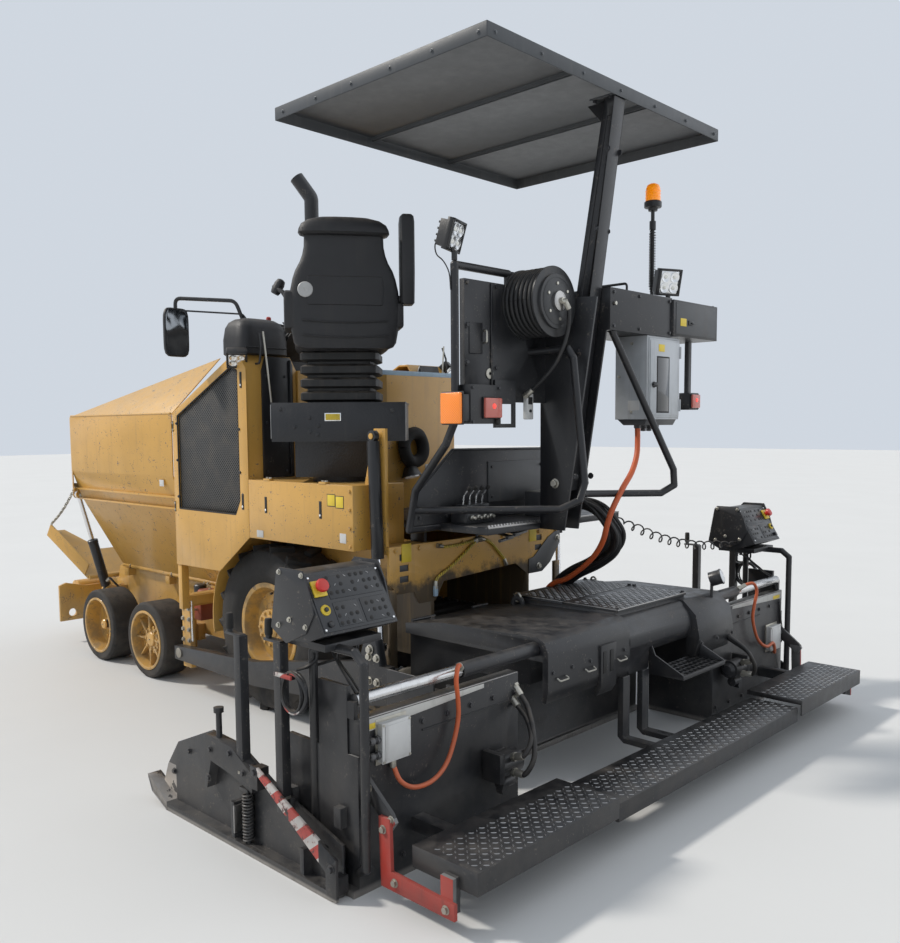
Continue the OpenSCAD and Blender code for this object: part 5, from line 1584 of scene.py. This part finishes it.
class PAVER_OT_extensions(bpy.types.Operator):
    """Control boxes, junction boxes and fittings of the sliding extensions."""

    bl_idname = "paver.extensions"
    bl_label = "Screed extensions"

    def control_face(self):
        """The sloping panel with its buttons, left without symbols."""
        stand = stood((-1999, 1744.5, 1113.6), (-0.864, 0, 0.503))
        parts = [
            block("panel", (-176, -116, -1), (176, 112, 3), 2, stand),
            block("panel", (-100, -104, 2), (20, -6, 5), 2, stand),
            block("panel", (32, -104, 2), (166, -6, 5), 2, stand),
            block("panel", (-100, 8, 2), (166, 100, 5), 2, stand),
        ]
        pad = turned("pale", [(4.6, 0), (6.0, 0), (6.0, 1.6), (4.6, 1.6)], Matrix.Identity(4), 14)
        key = chamfered("dark", 8.6, 0.8, 4.2, 2.6, Matrix.Identity(4), 12)
        bar = block("pale", (-5.5, -1.3, 0), (5.5, 1.3, 1.5), 0.5, Matrix.Identity(4))
        for i in range(9):
            for j in range(7):
                x, y = -86 + i * 29, -92 + j * 31
                if abs(y) < 14 or (abs(x - 26) < 10 and y < 0) or (i * 5 + j * 3) % 7 == 2:
                    continue
                spot = stand @ shifted(x, y, 5)
                if (i + 2 * j) % 4 == 3:
                    parts.append(copied(bar, spot @ Matrix.Rotation(0.8 * i, 4, "Z")))
                else:
                    parts += [copied(pad, spot), copied(key, spot)]
        for piece in (pad, key, bar):
            bpy.data.objects.remove(piece)
        for x, y in ((-168, -106), (168, -106), (-168, 104), (168, 104)):
            parts.append(chamfered("bright", 5, 2, 3, 3.5, stand @ shifted(x, y, 3), 12))
        stop, second, third = (stand @ shifted(-140, y, 3) for y in (58, -30, -88))
        parts += [
            block("yellow_mark", (-30, -34, 0), (30, 30, 10), 3, stop),
            turned("red_knob", [(0, 8), (13, 8), (14, 22), (25, 26), (27, 34), (24, 43), (12, 47), (0, 47)],
                   stop, 28),
        ]
        return parts + [
            turned("yellow_mark", [(0, 0), (21, 0), (21, 5), (17, 8), (15, 6), (0, 6)], second, 24),
            turned("black", [(0, 5), (9, 5), (9, 12), (6, 14), (0, 14)], second, 16),
            chamfered("black", 12, 10, 8, 14, third, 16),
        ]

    def execute(self, context):
        parts = self.control_face()
        for y, s in ((1554, -1), (1935, 1)):
            spots = ((-1940, 1218), (-1800, 1218), (-1860, 1040), (-1960, 1025), (-1790, 1010))
            parts += bolts([(x, y, z) for x, z in spots], (0, s, 0), 15)
        parts += bolts([(-1815, 1640, 962), (-1815, 1850, 962)], UP, 14)
        for y in (1640, 1700, 1770, 1840):
            parts.append(turned("black", [(0, 0), (15, 0), (15, 14), (11, 18), (11, 30), (0, 31)],
                                stood((-1900, y, 934), DOWN), 8))
        parts += [
            plate("stripe_pale", "x", -2133.5, -2129, [(1810, 626), (1810, 674), (1130, 674), (1130, 656)],
                  1.2),
            block("yellow_mark", (-2135, 1690, 634), (-2130, 1786, 656), 1),
            block("worn_edge", (-2130.8, 905, 676), (-2072, 1820, 681.4), 1.2),
            block("black", (-2136, 960, 560), (-2129, 1500, 566), 1.5),
        ]
        rear = -2130
        parts += bolts(row((rear, 930, 600), (rear, 1780, 600), 7), BACK, 18, "black_bolt")
        parts += bolts(row((rear, 940, 90), (rear, 1780, 90), 6), BACK, 18, "black_bolt")
        parts += bolts(ringed((-2188, 1121, 320), 42, 5), LEFT, 12)
        parts.append(turned("black_cast", [(0, 0), (40, 0), (44, 8), (30, 30), (18, 34), (0, 34)],
                            stood((-2188, 990, 320), RIGHT), 28))
        for z in (360, 290):
            parts.append(turned("zinc", [(0, 0), (15, 0), (15, 16), (11, 20), (11, 32), (0, 32)],
                                stood((-2230, 1060, z), (-1, 0, 0.2)), 6))
        parts.append(strand("black_cast", [(-2215, 1085, 215), (-2180, 1085, 215)], 24, 14))
        parts += bolts([(-2240, 1812, 290), (-2560, 1812, 100), (-2300, 1812, 105)], LEFT, 22)
        parts += bolts([(-2268, 1797, 330), (-2150, 1797, 420)], LEFT, 20)
        parts += bolts(row((-2110, 1815, 120), (-1740, 1815, 120), 4), LEFT, 18, "black_bolt")
        on_both_sides("extension_fittings_SIDE", parts, "extension_SIDE")
        on_both_sides("extension_treads_SIDE", [treads(-2662, -2350, 904, 1760, 249)], "extension_SIDE")
        for side, low in (("left", 500), ("right", 318)):
            box = [
                block("white", (-2168, 1596, low - 4), (-2160, 1744, low + 154), 3),
                block("white", (-2171, 1610, low + 8), (-2167, 1730, low + 142), 2),
                block("zinc", (-2136, 1590, low - 14), (-2130, 1750, low + 164), 1),
            ]
            box += [button("zinc", 5, 3, 3.5, stood((-2168, y, z), BACK), 12)
                    for y in (1603, 1737) for z in (low + 4, low + 146)]
            for z in (low + 30, low + 90):
                box.append(button("gland", 17, 12, 13, stood((-2145, 1744, z), LEFT), 6))
                box.append(chamfered("gland", 15, 10, 10, 18, stood((-2145, 1770, z), LEFT), 16))
            for piece in box if side == "right" else ():
                piece.data.transform(MIRROR)
                piece.data.flip_normals()
            joined(f"junction_box_{side}", box, f"extension_{side}")

        spring = [(-1500 + 21 * cos(t), 1906 + 21 * sin(t), 46 + 206 * k / 240)
                  for k, t in enumerate(angles(16, 15))]
        gate = [strand("dark_grey", spring, 3.4, 8)]
        gate += bolts([(-1600, 1935, 372), (-2085, 1935, 128)], LEFT, 24, "black_bolt")
        gate += bolts([(-1250, 1924, 380), (-1400, 1924, 400), (-1500, 1924, 340), (-1235, 1924, 250)], LEFT,
                      20,
                      "black_bolt")
        gate += bolts([(-1150, 1880, 400), (-1000, 1880, 300), (-860, 1880, 170), (-1800, 1880, 180),
                       (-1980, 1880, 160)],
                      LEFT, 20, "black_bolt")
        for x, z in ((-1392, 932), (-1672, 948)):
            gate.append(turned("rubber", [(0, 0), (15.5, 0), (16.5, 8), (15.5, 60), (12, 66), (0, 67)],
                               stood((x, 1900, z), UP), 18))
        gate.append(block("worn_edge", (-2086, 1865.6, 0), (-880, 1933.4, 3), 1))
        gate.append(strand("worn_steel", [(-872, 1934, 3), (-742, 1934, 57), (-708, 1934, 122)], 3, 8))
        gate.append(block("worn_steel", (-1432, 1886, 60), (-1424, 1930, 180), 2))
        for x, z in ((-1470, 330), (-1750, 300)):
            gate.append(turned("zinc", [(22, 0), (30, 0), (30, 10), (22, 10)], stood((x, 1900, z), UP), 6))
        on_both_sides("end_gate_fittings_SIDE", gate, "extension_SIDE")
        return {"FINISHED"}


class PAVER_OT_hydraulics(bpy.types.Operator):
    """Valve bank, steel pipes and signs around the rear platform."""

    bl_idname = "paver.hydraulics"
    bl_label = "Hydraulics"

    def execute(self, context):
        parts = [
            block("black_cast", (-1420, 240, 1250), (-1300, 460, 1320), 5),
            block("black_cast", (-1400, 260, 1318), (-1320, 440, 1352), 4),
            block("dark_grey", (-1480, -330, 1250), (-1330, -130, 1390), 6),
            block("zinc", (-1476, -320, 1388), (-1334, -140, 1394), 2),
        ]
        for y in (275, 325, 375, 425):
            parts.append(turned("zinc", [(0, 0), (14, 0), (14, 10), (9, 14), (9, 30), (0, 31)],
                                stood((-1420, y, 1285), BACK), 12))
            parts.append(bent("bright", [(-1360, y, 1350), (-1366, y, 1400), (-1398, y, 1432)], 20,
                                5, 8))
            parts.append(turned("rubber", [(0, 0), (9, 0), (12, 14), (9, 24), (0, 27)],
                                stood((-1396, y, 1430), (-0.7, 0, 0.7)), 14))
        parts.append(plate("paint", "x", -1250, -1242,
                           [(300, 1250), (480, 1250), (480, 1330), (450, 1360), (300, 1350)], 2))
        parts += bolts([(-1250, 330, 1300), (-1250, 450, 1300)], BACK, 24)
        tooth = [(-1606, 1250), (-1600, 1250), (-1596, 1259), (-1602, 1262)]
        parts += [plate("worn_edge", "y", y, y + 12, tooth, 0) for y in range(-20, 508, 24)]
        parts.append(block("worn_edge", (-1604, -695, 1243), (-1599, 495, 1252), 1))
        for y, z in ((585, 1040), (-500, 1050)):
            parts.append(block("yellow_mark", (-1124, y, z), (-1119.5, y + 70, 1140), 0.8))
        parts += bolts(row((-1120, -700, 1108), (-1120, 700, 1108), 9), BACK, 20, "painted_bolt")
        # Dark plates set into the holes here: painted shade inside the holes
        for y in (600, -560):
            for z in (930, 990, 1050):
                parts.append(block("dark_grey", (-1114, y, z), (-1106, y + 70, z + 36), 1))
        # A dark sheet on the right of this wall: painted shadow
        parts.append(plate("dark_grey", "x", -1126, -1121, [
            (-424, 853), (-424, 944), (-471, 951), (-620, 1065), (-700, 1100), (-741, 1100), (-741, 1022),
            (-640, 902),
            (-560, 853)]))
        parts += bolts([(-1126, -520, 890), (-1126, -712, 1052)], BACK, 26)
        parts.append(block("black_cast", (-1138, 20, 1095), (-1119, 72, 1128), 4))
        parts.append(block("light_blue", (-1140, 396, 826), (-1122, 422, 884), 4))
        lining = [(-640, 1251), (-640, 1616), (-622, 1630), (400, 1640), (560, 1520), (700, 1400),
                  (700, 1251)]
        parts.append(plate("black", "x", -1264, -1254, lining, 2))
        parts.append(bent("black", [(-1259, -640, 1270), (-1259, -640, 1630), (-1259, 400, 1642),
                                              (-1259, 704, 1400), (-1259, 704, 1270)], 18, 9, 10))
        parts += bolts(row((-1264, -600, 1290), (-1264, 660, 1290), 7), BACK, 18, "black_bolt")
        parts.append(block("dark_grey", (-1272, -380, 1340), (-1263, 120, 1570), 4))
        parts += bolts([(-1272, y, z) for y in (-350, 90) for z in (1370, 1540)], BACK, 12, "black_bolt")
        for k, y in enumerate((-60, 0, 60)):
            level = 1190 - 12 * k
            parts.append(bent("black", [
                (-1127, y, 1130), (-1127, y, 1185 - 8 * k), (-1200 - 20 * k, y, level),
                (-1500, y + 120, level),
                (-1560, y + 300, level)], 30, 9, 10))
        joined("platform_hydraulics", parts, "tractor")
        parts = [
            # In the darkened primer, which holds painted shade
            block("primer", (960, 452, 420), (1080, 640, 560), 10),
            turned("primer", [(0, 0), (62, 0), (62, 60), (50, 72), (0, 74)], stood((1010, 560, 560), UP), 28),
            chamfered("black_cast", 44, 60, 36, 68, stood((1090, 560, 590), UP), 24),
            bent("zinc", [(1000, 640, 500), (1000, 690, 500), (1000, 700, 610)], 20, 9, 10),
        ]
        parts += bolts(ringed((1010, 560, 634), 46, 6, "y"), UP, 14)
        parts.append(strand("bright", [(800, 802, 330), (800, 802, 610)], 6, 10))
        for x in (842, 918):
            parts += bolts(row((x, 800, 330), (x, 800, 620), 5), LEFT, 22)
        parts += bolts([(880, 800, 250)], LEFT, 20)
        on_both_sides("drive_parts_SIDE", parts, "tractor")
        ring = [(-462 + 4 * sin(3 * t), -80 + 84 * cos(t), 1635 + 92 * sin(t))
                for t in angles(40)]
        parts = [strand("rubber", ring, 41, 20),
                 block("light_blue", (-421, -500, 2092), (-417, 380, 2121), 1)]
        for z in (1300, 1700):
            parts += bolts([(-420, -470, z), (-420, -200, z)], BACK, 14, "painted_bolt")
        parts.append(strand("black", [(-424, -300, 1180), (-424, -300, 1260)], 5, 8))
        parts += sign("white", (-420, -250, 1500), BACK, 60, 46)
        joined("hood_rear_fittings", parts, "tractor")
        return {"FINISHED"}


class PAVER_OT_hoses(bpy.types.Operator):
    """Hoses and cables, and their fittings."""

    bl_idname = "paver.hoses"
    bl_label = "Hoses"

    def execute(self, context):
        over = [(-1575, -236, 1250), (-1584, -240, 1292), (-1640, -262, 1330), (-1720, -292, 1300),
                (-1776, -330, 1225),
                (-1798, -376, 1140), (-1756, -402, 1052), (-1650, -404, 972), (-1500, -420, 898),
                (-1390, -438, 820), (-1350, -444, 745), (-1346, -446, 702)]
        hose("screed_harness", "hose", flowing(over), 74, "tractor", "screed", nuts=False, sides=16)
        beside = ((12, 62, 26, 30), (-34, 48, 10, 24), (20, -58, -8, 32), (-46, -6, 22, 22))
        for k, (dx, dy, dz, width) in enumerate(beside):
            line = [(x + dx * (0.6 if i < 3 else 1), y + dy, z + dz * min(1, i / 2) * (0 if i > 9 else 1))
                    for i, (x, y, z) in enumerate(over)]
            hose(f"screed_hose_{k + 1}", "hose", flowing(line), width, "tractor", "screed")
        hose("cabinet_hose", "orange", flowing([
            (-1850, -500, 1778), (-1850, -501, 1735), (-1851, -501, 1690), (-1866, -470, 1600),
            (-1880, -400, 1510), (-1884, -300, 1420), (-1876, -222, 1320), (-1846, -214, 1230),
            (-1800, -240, 1130), (-1730, -262, 1040), (-1640, -270, 960), (-1520, -280, 880),
            (-1420, -290, 842),
            (-1366, -296, 790), (-1352, -298, 702)]), 32, "tractor", "screed", nuts=False)
        for k, line in enumerate((
                [(-1131, 380, 1106), (-1133, 330, 1096), (-1134, 220, 1096), (-1133, 120, 1106),
                 (-1131, 66, 1112)],
                [(-1131, 50, 1112), (-1131, 100, 1086), (-1131, 180, 1036), (-1131, 271, 984),
                 (-1131, 340, 952),
                 (-1131, 388, 930), (-1131, 407, 905), (-1131, 409, 882)],
                [(-1131, 28, 1112), (-1131, -30, 1098), (-1131, -80, 1066), (-1131, -140, 1012),
                 (-1131, -180, 972),
                 (-1131, -193, 945)])):
            hose(f"yellow_hose_{k + 1}", "spiral_yellow", flowing(line, 8), 17, "tractor")
        for side, s in SIDES:
            body = f"extension_{side}"
            ends = (410, 470, 499) if side == "left" else (300, 306, 320)
            hose(f"extension_hose_{side}", "orange", mirrored(flowing([
                (-2117, 1262, 768), (-2140, 1290, 786), (-2168, 1330, 790), (-2180, 1352, 740),
                (-2174, 1336, 660),
                (-2168, 1330, 572), (-2172, 1372, 462), (-2180, 1430, 398), (-2184, 1509, 366),
                (-2182, 1600, 372),
                (-2168, 1655, ends[0]), (-2148, 1672, ends[1]), (-2146, 1674, ends[2])]), s), 20, body)
            for k, low in enumerate((530, 590) if side == "left" else (348, 408)):
                cable(f"junction_cable_{side}_{k + 1}", mirrored(flowing([
                    (-2145, 1788, low), (-2146, 1812 - 6 * k, low + 4), (-2140, 1806, low + 60),
                    (-2110, 1790 - 20 * k, 720), (-2020, 1782 - 20 * k, 800), (-1930, 1770 - 12 * k, 870),
                    (-1900, 1770 - 70 * k, 912)]), s), 11, body)
            for k in range(2):
                cable(f"panel_cable_{side}_{k + 1}", mirrored(flowing([
                    (-1900, 1840 - 200 * k, 914), (-1900, 1842 - 200 * k, 874), (-1872, 1870 - 100 * k, 846),
                    (-1850, 1898, 836)]), s), 12, body)
            hose(f"motor_hose_{side}_1", "hose", mirrored(flowing([
                (-2252, 1060, 364), (-2294, 1058, 380), (-2296, 1010, 440), (-2230, 960, 500),
                (-2160, 940, 540),
                (-2128, 930, 560)]), s), 24, body)
            hose(f"motor_hose_{side}_2", "hose", mirrored(flowing([
                (-2254, 1060, 295), (-2304, 1062, 302), (-2326, 1030, 370), (-2290, 990, 460),
                (-2210, 930, 540),
                (-2150, 915, 590), (-2128, 912, 610)]), s), 24, body)
            hose(f"wing_hose_{side}", "hose", mirrored(flowing([
                (2430, 604, 546), (2400, 600, 560), (2380, 570, 520), (2396, 520, 470), (2420, 470, 440),
                (2440, 432, 430)]), s), 18, "tractor")
        for side, s in SIDES:
            loops = [(-1842 + 64 * cos(t) + 5 * sin(0.7 * t), s * (1912 + 9 * sin(0.31 * t)),
                      745 + (78 + 6 * sin(0.9 * t)) * sin(t)) for t in angles(20, 3)]
            cable(f"cable_loops_{side}", loops, 11, f"extension_{side}")
        reach = sagging((-1796, -352, 1262), (-1935, -1552, 1010), 80, 40)
        cable("curly_cord", curled(reach, 25, 14), 9, "screed", "extension_right")
        return {"FINISHED"}


class PAVER_OT_fittings(bpy.types.Operator):
    """Joins the fittings at the ends of all the hoses, one piece a body."""

    bl_idname = "paver.fittings"
    bl_label = "Hose fittings"

    def execute(self, context):
        for body, parts in FITTINGS.items():
            joined(f"hose_ends_{body}", parts, body, 40)
        return {"FINISHED"}


# The camera: place in metres, yaw, pitch and roll in radians, lens and sensor in millimetres
EYE_PLACE = (AXLE_X - 4.673, 3.979, 1.768)
EYE_TURN = (-0.806, -0.088, 0.007)
EYE_LENS, EYE_SENSOR, EYE_SHIFT = 34.85, 36, 0.0377


class PAVER_OT_stage(bpy.types.Operator):
    """Floor, soft lights, plain world and the camera."""

    bl_idname = "paver.stage"
    bl_label = "Stage"

    def execute(self, context):
        clear_selection()
        bpy.ops.mesh.primitive_plane_add(size=sizes().floor, location=(0, 0, 0))
        floor = context.object
        floor.name = "floor"
        look = Look("pale floor")
        cloud = look.noise(0.8, 4.0)
        tone = tuple(colours().floor)
        look.set(Base_Color=look.mix(cloud, tone, dimmed(tone, 0.93)), Roughness=0.7 + cloud * 0.1)
        floor.data.materials.append(look.material)
        world = bpy.data.worlds.new("plain world")
        context.scene.world = world
        world.use_nodes = True
        background = world.node_tree.nodes["Background"]
        background.inputs["Color"].default_value = (0.74, 0.80, 0.88, 1)
        background.inputs["Strength"].default_value = 0.85
        for name, turn, power, soft in (("sun", (46, 0, 128), 2.6, 0.10), ("fill", (62, 0, -40), 0.55, 1.2)):
            lamp = bpy.data.lights.new(name, "SUN")
            lamp.energy = power
            lamp.angle = soft
            light = bpy.data.objects.new(name, lamp)
            light.rotation_euler = [radians(t) for t in turn]
            context.scene.collection.objects.link(light)
        bpy.data.lights["sun"].color = (1.0, 0.95, 0.88)
        eye = bpy.data.cameras.new("camera")
        eye.sensor_width = EYE_SENSOR
        eye.lens = EYE_LENS
        eye.shift_y = EYE_SHIFT
        eye.clip_end = 400
        camera = bpy.data.objects.new("camera", eye)
        yaw, pitch, roll = EYE_TURN
        ahead = Vector((cos(yaw) * cos(pitch), sin(yaw) * cos(pitch), sin(pitch)))
        turn = ahead.to_track_quat("-Z", "Y").to_matrix().to_4x4() @ Matrix.Rotation(-roll, 4, "Z")
        camera.matrix_world = Matrix.Translation(EYE_PLACE) @ turn
        context.scene.collection.objects.link(camera)
        context.scene.camera = camera
        context.scene.view_settings.view_transform = "Standard"
        return {"FINISHED"}


class PAVER_PT_panel(bpy.types.Panel):
    """Lists the sizes and colours, and a button for each step."""

    bl_idname = "PAVER_PT_panel"
    bl_label = "Asphalt Paver"
    bl_space_type = "VIEW_3D"
    bl_region_type = "UI"
    bl_category = "Paver"

    def draw(self, context):
        for group in (context.scene.paver_sizes, context.scene.paver_colours):
            for name in group.bl_rna.properties.keys():
                if name not in ("rna_type", "name"):
                    self.layout.prop(group, name)
        for step in STEPS:
            self.layout.operator(step.bl_idname)


STEPS = [
    PAVER_OT_stage, PAVER_OT_finishes, PAVER_OT_hoses, PAVER_OT_wheels, PAVER_OT_body, PAVER_OT_hopper,
    PAVER_OT_seat,
    PAVER_OT_console, PAVER_OT_rear, PAVER_OT_lamps, PAVER_OT_mirror, PAVER_OT_roof, PAVER_OT_screed,
    PAVER_OT_extensions, PAVER_OT_hydraulics, PAVER_OT_fittings,
]
GROUPS = [PaverSizes, PaverColours]


def register():
    for part in GROUPS + STEPS + [PAVER_PT_panel]:
        bpy.utils.register_class(part)
    bpy.types.Scene.paver_sizes = bpy.props.PointerProperty(type=PaverSizes)
    bpy.types.Scene.paver_colours = bpy.props.PointerProperty(type=PaverColours)


def unregister():
    del bpy.types.Scene.paver_colours
    del bpy.types.Scene.paver_sizes
    for part in reversed(GROUPS + STEPS + [PAVER_PT_panel]):
        bpy.utils.unregister_class(part)


def main():
    register()
    for step in STEPS:
        getattr(bpy.ops.paver, step.bl_idname.split(".")[1])()


if __name__ == "__main__":
    main()
